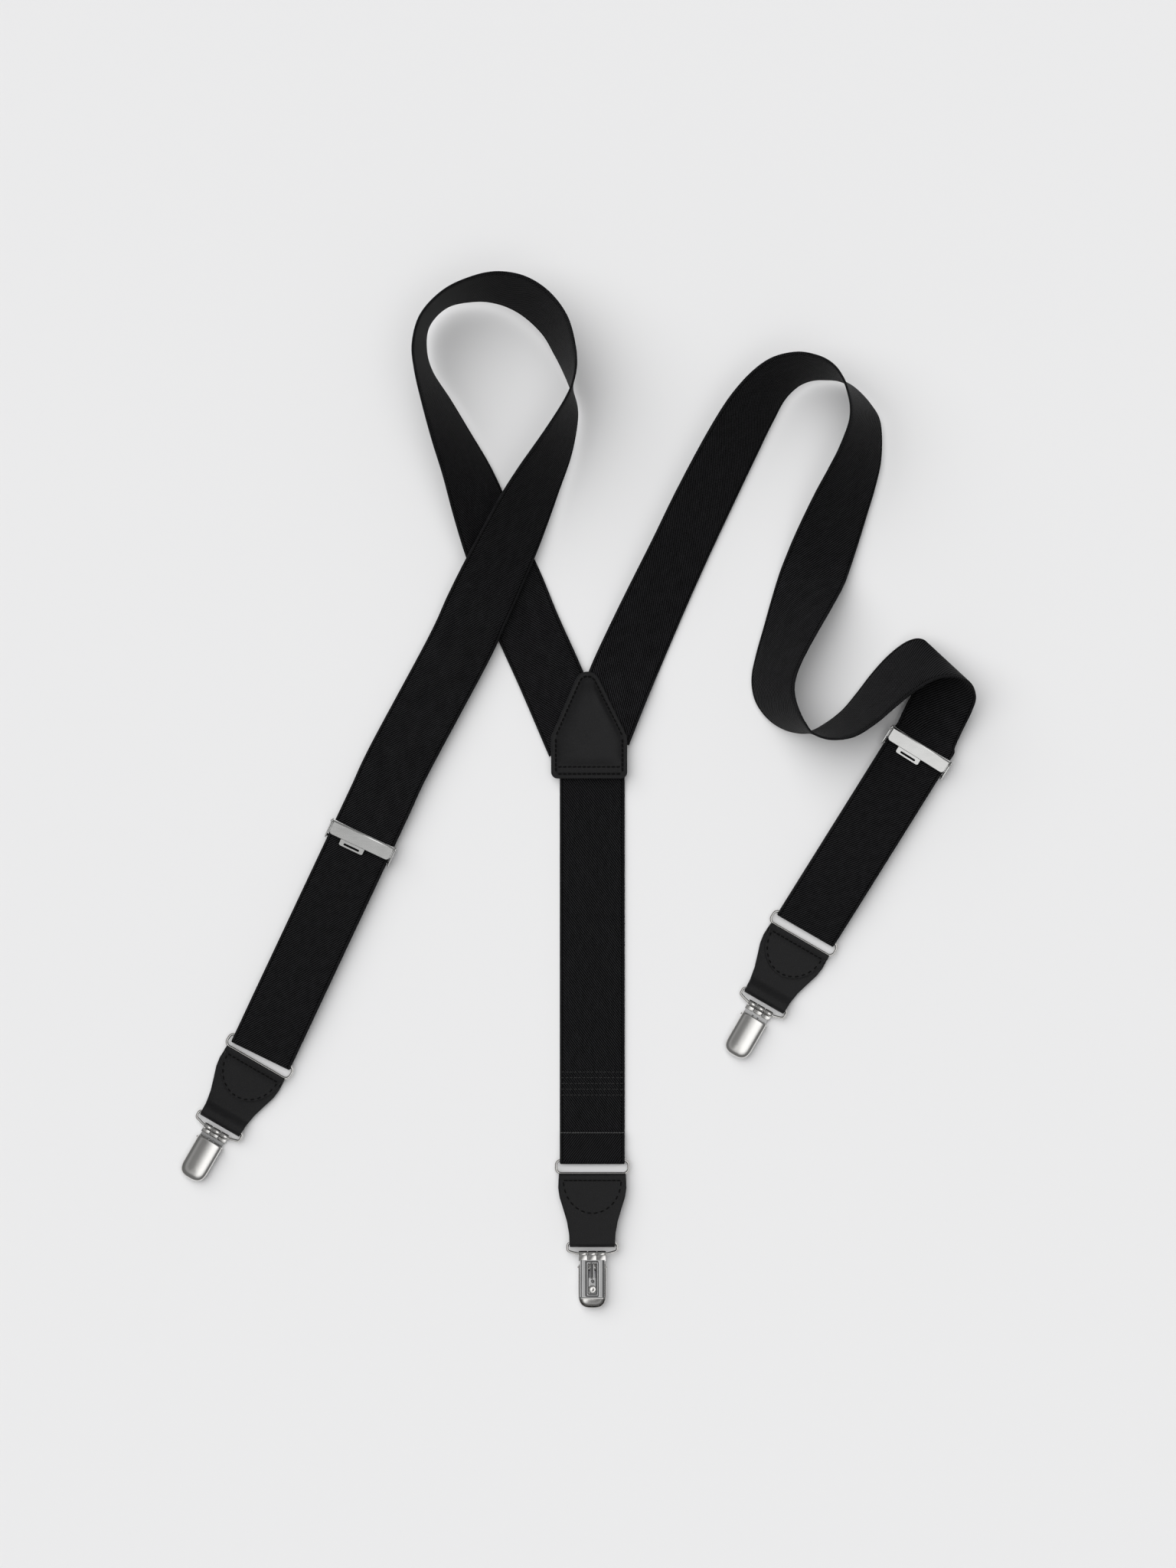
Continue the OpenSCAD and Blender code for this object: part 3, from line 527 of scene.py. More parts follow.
def stitches(name, seats, material, matrix, thread, length):
    """Thread stitches lying at seats (x, y, z, angle): each dips into the material at both ends."""
    verts, faces = [], []
    rings, sides = 7, 8
    for x, y, z, angle in seats:
        base = len(verts)
        c, s = math.cos(angle), math.sin(angle)
        for i in range(rings):
            t = i / (rings - 1) * 2 - 1
            r = thread / 2 * (1 - 0.45 * t ** 6)
            lift = -0.36 * thread * t ** 4 + 0.12 * thread
            for k in range(sides):
                a = 2 * math.pi * k / sides
                u, v, w = t * length / 2, r * math.cos(a) * 1.15, r * math.sin(a) + lift
                v += 0.10 * thread * math.sin(4 * t)
                verts.append((x + c * u - s * v, y + s * u + c * v, z + w))
        for i in range(rings - 1):
            for k in range(sides):
                m = (k + 1) % sides
                faces.append((base + i * sides + k, base + i * sides + m, base + (i + 1) * sides + m,
                              base + (i + 1) * sides + k))
        faces.append(tuple(base + k for k in range(sides)))
        faces.append(tuple(base + (rings - 1) * sides + k for k in range(sides)))
    return add_object(name, verts, faces, material, matrix=matrix)


def row_seats(p, q, z, pitch=3.0):
    d = Vector(q) - Vector(p)
    n = max(1, round(d.length / pitch))
    a = math.atan2(d.y, d.x)
    return [(*(Vector(p) + d * (k + 0.5) / n), z, a) for k in range(n)]


# ---- materials ----


def node_tree(name):
    old = bpy.data.materials.get(name)
    if old:
        return old, None, None, None
    mat = bpy.data.materials.new(name)
    mat.use_nodes = True
    tree = mat.node_tree
    shader = tree.nodes["Principled BSDF"]
    return mat, tree, shader, tree.links.new


def math_node(tree, operation, a, b=None, c=None):
    node = tree.nodes.new("ShaderNodeMath")
    node.operation = operation
    for i, v in enumerate((a, b, c)):
        if v is None:
            continue
        if isinstance(v, (int, float)):
            node.inputs[i].default_value = v
        else:
            tree.links.new(v, node.inputs[i])
    return node.outputs[0]


def noise(tree, scale, detail=2.0, vector=None, rough=0.5):
    node = tree.nodes.new("ShaderNodeTexNoise")
    node.inputs["Scale"].default_value = scale
    node.inputs["Detail"].default_value = detail
    node.inputs["Roughness"].default_value = rough
    if vector is not None:
        tree.links.new(vector, node.inputs["Vector"])
    return node.outputs["Fac"] if "Fac" in node.outputs else node.outputs[0]


def blend_colour(tree, factor, dark, light):
    ramp = tree.nodes.new("ShaderNodeValToRGB")
    ramp.color_ramp.elements[0].color = (*dark, 1)
    ramp.color_ramp.elements[1].color = (*light, 1)
    tree.links.new(factor, ramp.inputs["Fac"])
    return ramp.outputs["Color"]


def bump(tree, height, distance, strength, shader):
    node = tree.nodes.new("ShaderNodeBump")
    node.inputs["Distance"].default_value = distance
    node.inputs["Strength"].default_value = strength
    tree.links.new(height, node.inputs["Height"])
    tree.links.new(node.outputs["Normal"], shader.inputs["Normal"])


def webbing_material():
    """Fine black twill: slanting ribs of short yarn floats, with a plain selvedge along each edge."""
    mat, tree, shader, link = node_tree("black_webbing")
    if tree is None:
        return mat
    s = settings("webbing")
    uv = tree.nodes.new("ShaderNodeUVMap")
    uv.uv_map = "UVMap"
    split = tree.nodes.new("ShaderNodeSeparateXYZ")
    link(uv.outputs["UV"], split.inputs[0])
    u, v = split.outputs[0], split.outputs[1]
    wander = math_node(tree, "MULTIPLY", noise(tree, 260.0, 2.0), 0.00035)
    sin_a, cos_a = math.sin(s.twill_angle), math.cos(s.twill_angle)
    slope = math_node(tree, "ADD", math_node(tree, "MULTIPLY_ADD", u, -sin_a, wander),
                      math_node(tree, "MULTIPLY", v, cos_a))
    rib = math_node(tree, "SINE", math_node(tree, "MULTIPLY", slope, 2 * math.pi / s.twill_pitch))
    lie = math_node(tree, "ADD", math_node(tree, "MULTIPLY", u, cos_a), math_node(tree, "MULTIPLY", v, sin_a))
    yarn = math_node(tree, "SINE", math_node(tree, "MULTIPLY", lie, 2 * math.pi / (0.8 * s.twill_pitch)))
    weave = math_node(tree, "MULTIPLY_ADD", yarn, 0.45, rib)
    weave = math_node(tree, "MULTIPLY_ADD", weave, 0.35, 0.5)
    # the selvedge has no ribs, only a fine line where it begins
    reach = math_node(tree, "ABSOLUTE", u)
    inside = math_node(tree, "LESS_THAN", reach, 0.0157)
    line = math_node(tree, "COMPARE", reach, 0.01595, 0.00022)
    edge_yarn = math_node(tree, "MULTIPLY_ADD", math_node(tree, "SINE", math_node(tree, "MULTIPLY", v,
            2 * math.pi / 0.0009)), 0.18, 0.55)
    mix = tree.nodes.new("ShaderNodeMix")
    link(inside, mix.inputs[0])
    link(edge_yarn, mix.inputs[2])
    link(weave, mix.inputs[3])
    height = math_node(tree, "SUBTRACT", mix.outputs[0], math_node(tree, "MULTIPLY", line, 0.5))
    lint = noise(tree, 900.0, 3.0)
    patchy = noise(tree, 30.0, 3.0)
    # painted shade and highlight: the base colour follows the weave's height, darker in the grooves and along the
    # selvedge line, lighter on the rib tops; lint and patchy tone add random variation
    shade = math_node(tree, "MULTIPLY_ADD", lint, 1.5, math_node(tree, "MULTIPLY_ADD", height, 1.1, -1.1))
    shade = math_node(tree, "ADD", shade, math_node(tree, "MULTIPLY_ADD", patchy, 0.36, -0.18))
    c = s.colour
    link(blend_colour(tree, shade, tuple(x * 0.06 for x in c), tuple(x * 8.0 for x in c)),
         shader.inputs["Base Color"])
    rough = math_node(tree, "MULTIPLY_ADD", height, -0.16, 0.68)
    link(rough, shader.inputs["Roughness"])
    shader.inputs["Sheen Weight"].default_value = 0.03
    shader.inputs["Sheen Roughness"].default_value = 0.45
    shader.inputs["Specular IOR Level"].default_value = 0.05
    bump(tree, height, s.rib_height, 1.0, shader)
    return mat


def leather_material():
    """Smooth finished black leather: fine pores, faint creases, a softer sheen where it is handled, and a painted
    sheen that lightens its colour where it stands up highest.
    """
    mat, tree, shader, link = node_tree("black_leather_grain")
    if tree is None:
        return mat
    s = settings("leather")
    coords = tree.nodes.new("ShaderNodeTexCoord").outputs["Object"]
    cells = tree.nodes.new("ShaderNodeTexVoronoi")
    cells.feature = "DISTANCE_TO_EDGE"
    cells.inputs["Scale"].default_value = 1150.0
    link(coords, cells.inputs["Vector"])
    pores_and_sheen = math_node(tree, "MINIMUM", math_node(tree, "MULTIPLY", cells.outputs["Distance"], 3.0), 1.0)
    crease = noise(tree, 210.0, 6.0, coords, 0.62)
    handled = noise(tree, 34.0, 4.0, coords)
    height = math_node(tree, "ADD", math_node(tree, "MULTIPLY", pores_and_sheen, 0.45),
                       math_node(tree, "MULTIPLY", crease, 0.8))
    c = s.colour
    # painted sheen: the colour lightens, in random patches, where the leather stands up highest
    split = tree.nodes.new("ShaderNodeSeparateXYZ")
    link(coords, split.inputs[0])
    painted_sheen = math_node(tree, "MULTIPLY_ADD", split.outputs[2], 500.0, -2.9)
    painted_sheen = math_node(tree, "MULTIPLY", math_node(tree, "MINIMUM", math_node(tree, "MAXIMUM", painted_sheen, 0.0), 0.6),
                     handled)
    pores_and_sheen = math_node(tree, "ADD", pores_and_sheen, painted_sheen)
    link(blend_colour(tree, math_node(tree, "MULTIPLY_ADD", handled, 0.6,
                                      math_node(tree, "MULTIPLY", pores_and_sheen, 0.35)),
                      tuple(x * 0.35 for x in c), tuple(x * 2.3 for x in c)), shader.inputs["Base Color"])
    link(math_node(tree, "MULTIPLY_ADD", handled, 0.3, 0.26), shader.inputs["Roughness"])
    shader.inputs["Specular IOR Level"].default_value = 0.26
    bump(tree, height, 0.00018, 0.6, shader)
    return mat


def cut_edge_material():
    """Raw cut edge of the leather: rougher than its face, and a little paler as painted highlight for the light
    caught along its rim
    """
    mat, tree, shader, link = node_tree("leather_cut_edge")
    if tree is None:
        return mat
    coords = tree.nodes.new("ShaderNodeTexCoord").outputs["Object"]
    fibre = noise(tree, 1300.0, 4.0, coords, 0.65)
    link(blend_colour(tree, fibre, (0.010, 0.010, 0.011), (0.045, 0.045, 0.047)), shader.inputs["Base Color"])
    shader.inputs["Roughness"].default_value = 0.7
    shader.inputs["Specular IOR Level"].default_value = 0.2
    bump(tree, fibre, 0.00015, 0.6, shader)
    return mat


def thread_material(name="black_thread_twist", dark=0.0008, light=0.006):
    """Black twisted thread, dark to light along its twist as painted shade; the rows that cross the webbing are given
    lighter colours as painted highlight for the light they catch
    """
    mat, tree, shader, link = node_tree(name)
    if tree is None:
        return mat
    coords = tree.nodes.new("ShaderNodeTexCoord").outputs["Object"]
    wave = tree.nodes.new("ShaderNodeTexWave")
    wave.bands_direction = "DIAGONAL"
    wave.inputs["Scale"].default_value = 700.0
    wave.inputs["Distortion"].default_value = 0.6
    link(coords, wave.inputs["Vector"])
    twist = wave.outputs["Fac"]
    link(blend_colour(tree, twist, (dark, dark, dark), (light, light, light)), shader.inputs["Base Color"])
    link(math_node(tree, "MULTIPLY_ADD", twist, -0.12, 0.62), shader.inputs["Roughness"])
    shader.inputs["Specular IOR Level"].default_value = 0.12
    bump(tree, twist, 0.0001, 0.6, shader)
    return mat


def metal_material(name, colour, rough, streak, scale=(1, 1, 1)):
    """Nickel plate with fine polishing marks; a larger streak gives the brushed finish."""
    mat, tree, shader, link = node_tree(name)
    if tree is None:
        return mat
    coords = tree.nodes.new("ShaderNodeTexCoord").outputs["Object"]
    mapping = tree.nodes.new("ShaderNodeMapping")
    mapping.inputs["Scale"].default_value = scale
    link(coords, mapping.inputs["Vector"])
    marks = noise(tree, 900.0, 4.0, mapping.outputs["Vector"], 0.6)
    cloud = noise(tree, 90.0, 2.0, coords)
    link(blend_colour(tree, cloud, tuple(x * 0.88 for x in colour),
                      tuple(min(1.0, x * 1.06) for x in colour)), shader.inputs["Base Color"])
    both = math_node(tree, "ADD", math_node(tree, "MULTIPLY", marks, streak),
                     math_node(tree, "MULTIPLY", cloud, 0.06))
    link(math_node(tree, "ADD", both, rough), shader.inputs["Roughness"])
    shader.inputs["Metallic"].default_value = 1.0
    bump(tree, marks, 0.00002, streak, shader)
    return mat


def bright_nickel():
    return metal_material("bright_nickel", tuple(settings("fittings").bright), 0.10, 0.10)


def satin_nickel():
    return metal_material("brushed_nickel", tuple(settings("fittings").satin), 0.12, 0.20, (0.15, 1, 1))


# painted shade: the clip's back plate gets a darker copy of the nickel colour
def clip_nickel():
    return metal_material("clip_plate_nickel", (0.50, 0.50, 0.50), 0.14, 0.14)


def spring_steel():
    return metal_material("spring_steel_plain", (0.42, 0.42, 0.44), 0.3, 0.2)


# ---- patch and back strap ----

PATCH_AT = (8.0, 8.7)
PATCH_W = 41.0
PATCH_CORNER_R, PATCH_SHOULDER_R, PATCH_APEX_R = 3.6, 5.0, 7.0
PATCH_SHOULDER_Y, PATCH_SIDE = 21.5, 24.5
PATCH_APEX = (-0.9, 50.6)
PATCH_Z = 4.4
SEAM = 2.5
PATCH_MIDDLE = Vector((0.0, 24.0))


def patch_outline(inset):
    """Outline of the patch, moved in by inset all round, with points spread along its straight sides too."""
    x, s = PATCH_W / 2 - PATCH_CORNER_R, PATCH_W / 2 - PATCH_SHOULDER_R
    r = PATCH_CORNER_R - inset
    corners = (arc(-x, PATCH_CORNER_R, r, 180, 270, 8) + arc(x, PATCH_CORNER_R, r, 270, 360, 8)
               + arc(s, PATCH_SHOULDER_Y, PATCH_SHOULDER_R - inset, 0, PATCH_SIDE, 5)
               + arc(*PATCH_APEX, PATCH_APEX_R - inset, PATCH_SIDE, 180 - PATCH_SIDE, 14)
               + arc(-s, PATCH_SHOULDER_Y, PATCH_SHOULDER_R - inset, 180 - PATCH_SIDE, 180, 5))
    breaks = {8: 12, 17: 6, 23: 14, 38: 14, 44: 6}
    out = []
    for i, p in enumerate(corners):
        out.append(Vector(p))
        q = Vector(corners[(i + 1) % len(corners)])
        for k in range(1, breaks.get(i, 1)):
            out.append(Vector(p).lerp(q, k / breaks[i]))
    return out


def patch_height(p):
    """Height of the upper leather over its flat border: padded in the middle, and lower along its two seams."""
    puff = settings("leather").puff / MM
    x, y = p
    reach = max(1.5, PATCH_W / 2 - 3.0 - 0.45 * max(0.0, y - PATCH_SHOULDER_Y))
    across_part = max(0.0, 1 - (abs(x) / reach) ** 4)
    low = smoothstep((y - 6.6) / 5)
    high = smoothstep((54 - y) / 9)
    wrinkle = 0.10 * math.sin(0.42 * x + 0.8) * math.sin(0.33 * y)
    return puff * across_part * low * high + wrinkle * across_part * low * high


class SUSPENDERS_OT_patch(bpy.types.Operator):
    """Two shield-shaped pieces of leather sewn over the meeting straps"""

    bl_idname = "suspenders.patch"
    bl_label = "Back patch"

    def execute(self, context):
        s = settings("leather")
        t = s.thickness / MM
        leather = leather_material()
        seat = place(*PATCH_AT)
        # upper leather: rolled edge, flat border pressed down by the seam, padded middle
        levels = [(0.12, 0.0), (0.0, 0.18), (0.0, t * 0.62), (0.10, t * 0.88), (0.32, t), (0.8, t), (1.5, t),
                  (2.05, t * 0.95), (2.5, t * 0.80), (2.95, t * 0.95), (3.2, t * 1.04), (3.4, t * 1.10)]
        rings = [[(p.x, p.y, z) for p in patch_outline(i)] for i, z in levels]
        inner = patch_outline(3.4)
        for k in (0.94, 0.86, 0.76, 0.64, 0.51, 0.38, 0.25, 0.12):
            ring = [PATCH_MIDDLE + k * (p - PATCH_MIDDLE) for p in inner]
            rings.append([(p.x, p.y, t * 1.10 + patch_height(p)) for p in ring])
        n = len(inner)
        verts = [v for ring in rings for v in ring]
        faces = [(j * n + k, j * n + (k + 1) % n, (j + 1) * n + (k + 1) % n, (j + 1) * n + k)
                 for j in range(len(rings) - 1) for k in range(n)]
        faces.append(tuple(range(n)))
        verts.append((PATCH_MIDDLE.x, PATCH_MIDDLE.y, t * 1.10 + patch_height(PATCH_MIDDLE)))
        last = (len(rings) - 1) * n
        faces += [(last + k, last + (k + 1) % n, len(verts) - 1) for k in range(n)]
        upper = add_object("patch_upper_leather", verts, faces, leather,
                           matrix=seat @ Matrix.Translation((0, 0, PATCH_Z)))
        upper.data.materials.append(cut_edge_material())
        for face in upper.data.polygons[:3 * n]:
            face.material_index = 1
        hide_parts("patch_top")
        lower = plate_mesh("patch_lower_leather", [tuple(p) for p in patch_outline(1.6)], 0, t, leather, seat,
                           bevel=0.3)
        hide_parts("patch_bottom")
        for obj in (upper, lower):
            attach(obj, ROOT)
        z = PATCH_Z + t * 0.95
        half = PATCH_W / 2 - SEAM
        seats = row_seats((-half + 1, SEAM), (half - 1, SEAM), z, 2.6) + row_seats((-half + 1, 6.3),
                (half - 1, 6.3), z + 0.2, 2.6)
        seats += row_seats((half, 3.6), (half, PATCH_SHOULDER_Y), z, 2.6) + row_seats((-half, 3.6),
                (-half, PATCH_SHOULDER_Y), z, 2.6)
        a = math.radians(PATCH_SIDE)
        shoulder = PATCH_W / 2 - PATCH_SHOULDER_R
        for sign in (1, -1):
            d = Vector((sign * math.cos(a), math.sin(a)))
            p = Vector((sign * shoulder, PATCH_SHOULDER_Y)) + (PATCH_SHOULDER_R - SEAM) * d
            q = Vector(PATCH_APEX) + (PATCH_APEX_R - SEAM) * d
            seats += row_seats(p + Vector((0, 0.8)), q, z, 2.6)
        for k in range(4):
            b = math.radians(42 + 32 * k)
            r = PATCH_APEX_R - SEAM
            seats.append((PATCH_APEX[0] + r * math.cos(b), PATCH_APEX[1] + r * math.sin(b), z, b + math.pi / 2))
        sewn = stitches("patch_stitches", seats, thread_material(), seat, s.thread / MM, s.stitch_length / MM)
        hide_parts("patch_stitching")
        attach(sewn, ROOT)
        return {"FINISHED"}


class SUSPENDERS_OT_back_strap(bpy.types.Operator):
    """The single strap from the patch to the back ring, folded round it and sewn"""

    bl_idname = "suspenders.back_strap"
    bl_label = "Back strap"

    def execute(self, context):
        w, t = settings("webbing").width / MM, settings("webbing").thickness / MM
        flat = [(BACK_TOP_Y, 2.0), (12, 2.0), (7, 1.7), (0, HALF_T)] + [(y, HALF_T) for y in range(-6, -192,
                -6)]
        fold = [(BACK_BAR_Y + x - BACK_BAR_Y, z) for x, z in arc(BACK_BAR_Y, AXIS_Z, FOLD_R, 270, 90, 14)]
        tail = [(BACK_BAR_Y + 2.5, 3.75), (BACK_BAR_Y + 5.4, 2.3), (BACK_BAR_Y + 8, HALF_T + 1.45),
                (BACK_TAIL_Y, HALF_T + 1.45)]
        line = flat + fold + tail
        lines = [(Vector((BACK_X - w / 2, y, z)), Vector((BACK_X + w / 2, y, z))) for y, z in line]
        strap = strap_mesh("back_strap_webbing", lines, w, t, webbing_material())
        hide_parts("back_strap")
        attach(strap, ROOT)
        s = settings("leather")
        seats = []
        for y in (-149.5, -152.6, -155.7, -158.8, -161.9):
            seats += row_seats((BACK_X - w / 2 + 0.5, y), (BACK_X + w / 2 - 0.5, y), HALF_T + t / 2, 2.3)
        y = BACK_TAIL_Y - 0.35
        hem = row_seats((BACK_X - w / 2 + 0.4, y), (BACK_X + w / 2 - 0.4, y), HALF_T + 1.45 + t / 2, 1.5)
        size = (s.thread / MM * 0.5, s.stitch_length / MM * 0.8)
        # painted highlight: the rows and the hem on the back strap get lighter thread colours
        rows = stitches("rows", seats, thread_material("strap_thread_twist", 0.012, 0.05), place(0, 0), *size)
        edge = stitches("hem", hem, thread_material("hem_thread_twist", 0.03, 0.13), place(0, 0),
                        size[0] * 1.3, 1.35)
        sewn = joined([rows, edge], "back_strap_stitches")
        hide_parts("back_strap_stitching")
        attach(sewn, ROOT)
        return {"FINISHED"}


# ---- front straps ----


# How far one edge of the fold hangs past the ring's bar
END_SLACK = {"left": 2.4, "right": 0.0}


def free_lines(side):
    """Cross lines of the strap from the patch to its adjuster, close together."""
    f = FRONTS[side]
    route = [(Vector(a), Vector(b)) for a, b in ROUTES[side]]
    for u in f["straight"]:
        at = Vector((*f["at"], 0)) - u * outward(f["yaw"])
        route.append(cross_line(at, f["yaw"], LIFT_Z))
    left = spline([r[0] for r in route], 7)
    right = spline([r[1] for r in route], 7)
    return list(zip(left, right))


def end_lines(side, line):
    """Cross lines at [(distance below the adjuster, height)], turning to the ring's direction at the end."""
    f = FRONTS[side]
    at, yaw, run = Vector((*f["at"], 0)), f["yaw"], f["run"]
    out = []
    for u, z in line:
        turn = min(1.0, max(0.0, (u - run + 40) / 40))
        outer, inner = cross_line(at + u * outward(yaw), yaw + (FRONT_END_YAW - yaw) * turn, z)
        slack = END_SLACK[side] * smoothstep((u - run + 30) / 30)
        out.append((outer + slack * outward(yaw), inner))
    return out


class SUSPENDERS_OT_front_straps(bpy.types.Operator):
    """Both front straps: the free part, the part below the adjuster, and the return to the adjuster's bar"""

    bl_idname = "suspenders.front_straps"
    bl_label = "Front straps"

    def execute(self, context):
        w, t = settings("webbing").width / MM, settings("webbing").thickness / MM
        webbing = webbing_material()
        for side, f in FRONTS.items():
            run = f["run"]
            free = strap_mesh(side + "_strap_webbing", free_lines(side), w, t, webbing, towards=-1)
            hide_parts(side + "_strap")
            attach(free, ROOT)
            down = [(u, LIFT_Z) for u in spread(0, run - 30, 24)]
            ease = [(run - 30 + 24 * k / 8,
                     LIFT_Z - (LIFT_Z - AXIS_Z - FOLD_R - 0.1) * smoothstep(k / 8)) for k in range(1, 9)]
            fold = [(run + x, z) for x, z in arc(0, AXIS_Z, FOLD_R, 90, -90, 14)]
            outer = strap_mesh(side + "_strap_end_webbing", end_lines(side, down + ease + fold + [(run - 2,
                    HALF_T)]), w, t, webbing, towards=-1)
            back = [(u, HALF_T) for u in spread(run - 2, FRAME_BAR_U + 3, 26)]
            wrap = [(FRAME_BAR_U + x, z) for x, z in arc(0, AXIS_Z, FOLD_R, 270, 90, 12)]
            tail = [(FRAME_BAR_U + 3, 3.55), (FRAME_BAR_U + 6, 2.75), (FRAME_BAR_U + 9, 2.3),
                    (FRAME_BAR_U + 16, HALF_T + 1.45)]
            inner = strap_mesh(side + "_strap_return_webbing", end_lines(side, back + wrap + tail), w, t,
                               webbing, towards=-1)
            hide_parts(side + "_strap_loop")
            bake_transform(outer)
            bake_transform(inner)
        return {"FINISHED"}


# ---- rings and clip wires ----


def bent_loop(corners, r, n=8):
    """Middle line of a closed wire with rounded corners."""
    out = []
    for i, c in enumerate(corners):
        c = Vector(c)
        a, b = (Vector(corners[i - 1]) - c).normalized(), (Vector(corners[(i + 1) % len(corners)]) - c).normalized()
        half = a.angle(b) / 2
        reach = r / math.tan(half)
        centre = c + (a + b).normalized() * (r / math.sin(half))
        p, q = (c + a * reach - centre).normalized(), (c + b * reach - centre).normalized()
        for k in range(n + 1):
            out.append(centre + r * p.slerp(q, k / n))
    return out


class SUSPENDERS_OT_rings(bpy.types.Operator):
    """Wire rings between each strap and its leather tab"""

    bl_idname = "suspenders.rings"
    bl_label = "Rings"

    def execute(self, context):
        r = settings("fittings").wire / MM / 2
        x = 20.3 - r
        line = bent_loop([(-x, 0, 0), (x, 0, 0), (x, -RING_PITCH, 0), (-x, -RING_PITCH, 0)], 2.8)
        for side in ("back", "left", "right"):
            obj = tube_mesh(side + "_ring_wire", line, r, bright_nickel(), closed=True,
                            matrix=end_frame(side, AXIS_Z))
            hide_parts(side + "_ring")
            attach(obj, side + "_ring")
        return {"FINISHED"}


class SUSPENDERS_OT_clip_wires(bpy.types.Operator):
    """Tapered wire loops that join each tab to its clip"""

    bl_idname = "suspenders.clip_wires"
    bl_label = "Clip wires"

    def execute(self, context):
        half, low = [(13.4, 0), (13.4, -WIRE_STRAIGHT), (8.1, -WIRE_DROP)], 0.0
        line = bent_loop([(x, y, low) for x, y in half] + [(-x, y, low) for x, y in reversed(half)], 1.6)
        for side in ("back", "left", "right"):
            obj = tube_mesh(side + "_clip_wire_loop", line, 0.75, bright_nickel(), closed=True,
                            matrix=wire_frame(side))
            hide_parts(side + "_clip_wire")
            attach(obj, side + "_clip_wire")
        return {"FINISHED"}


# ---- leather tabs ----

TAB_SIDE = [(0, 17.8), (5, 18.2), (10, 18.4), (15, 17.7), (21, 15.8), (28, 13.7), (35, 12.5), (42, 12.2)]
D_ROW_U, D_HALF_W, D_DROP, D_EDGE = 3.65, 15.5, 17.6, 1.6


def tab_half_width(u):
    """Half width of the tab at a distance below the ring's lower bar."""
    d = u + TAB_FOLD_R
    pts = TAB_SIDE
    if d <= 0:
        return pts[0][1]
    for (d0, w0), (d1, w1) in zip(pts, pts[1:]):
        if d <= d1:
            return w0 + (w1 - w0) * (d - d0) / (d1 - d0)
    return pts[-1][1]


def flap_height(u, t):
    """Middle of the flap, which rises over the ring's lower bar."""
    return 3.0 + (AXIS_Z + 1.15 + t / 2 - 3.0) * smoothstep((6.5 - u) / 6.0)


def tab_path(t):
    """Middle line of the folded strip, seen from the side, with its half width at each point."""
    top = AXIS_Z + 1.15 + t / 2
    r = 1.15 + t / 2
    end = WIRE_U
    out = []
    # the flap, from its rounded edge up to the ring
    reach = D_DROP + D_EDGE
    for k in range(19):
        d = reach * math.sin(math.radians(90 - 5 * k))
        u = D_ROW_U + d - 0.5
        half = (D_HALF_W + D_EDGE) * math.sqrt(max(0.0, 1 - (d / reach) ** 2))
        out.append((u, flap_height(u, t), max(1.2, min(half, tab_half_width(u)))))
    for u in (2.6, 2.0, 1.3, 0.6):
        out.append((u, flap_height(u, t), tab_half_width(u)))
    out += [(-x, z, tab_half_width(-x)) for x, z in arc(0, AXIS_Z, r, 90, 270, 14)]
    out += [(u, AXIS_Z - r, tab_half_width(u)) for u in spread(1.5, end - 1, 24)]
    out += [(end + x, z, tab_half_width(end + x)) for x, z in arc(0, AXIS_Z, r, -90, 90, 14)]
    for u in spread(end - 1, 4.5, 30):
        z = 1.8 + (top - 1.8) * smoothstep((u - (WIRE_U - 8)) / 6.5)
        out.append((u, z, tab_half_width(u) - 0.05))
    return out


class SUSPENDERS_OT_tabs(bpy.types.Operator):
    """Leather tabs folded round ring and clip wire, each closed by a D-shaped flap"""

    bl_idname = "suspenders.tabs"
    bl_label = "Leather tabs"

    def execute(self, context):
        s = settings("leather")
        t = s.thickness / MM
        leather = leather_material()
        for side in ("back", "left", "right"):
            path = tab_path(t)
            lines = [(Vector((-17, -u, z)), Vector((17, -u, z))) for u, z, _ in path]
            widths = [2 * h for _, _, h in path]
            tab = strap_mesh(side + "_tab_leather", lines, 34.0, t, leather, selvedge=False, widths=widths,
                             matrix=tab_frame(side))
            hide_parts(side + "_tab")
            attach(tab, side + "_tab")
            row = row_seats((-D_HALF_W, 0), (D_HALF_W, 0), 0.0, 2.6)
            for k in range(14):
                a = math.radians(186.5 + k * 12.9)
                p = (D_HALF_W * math.cos(a), D_DROP * math.sin(a))
                row.append((*p, 0.0, math.atan2(D_DROP * math.cos(a), -D_HALF_W * math.sin(a))))
            row = [(x, y - D_ROW_U, flap_height(D_ROW_U - y, t) + t / 2, b) for x, y, h, b in row]
            if side == "back":
                row = [(x, y, -0.06, b) for x, y, h, b in row]
            sewn = stitches(side + "_tab_stitches", row, thread_material(), tab_frame(side), s.thread / MM,
                            s.stitch_length / MM)
            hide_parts(side + "_tab_stitching")
            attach(sewn, side + "_tab")
        return {"FINISHED"}


# ---- adjusters ----

LEVER_PIN_Y, LEVER_PIN_Z = 4.1, 7.6


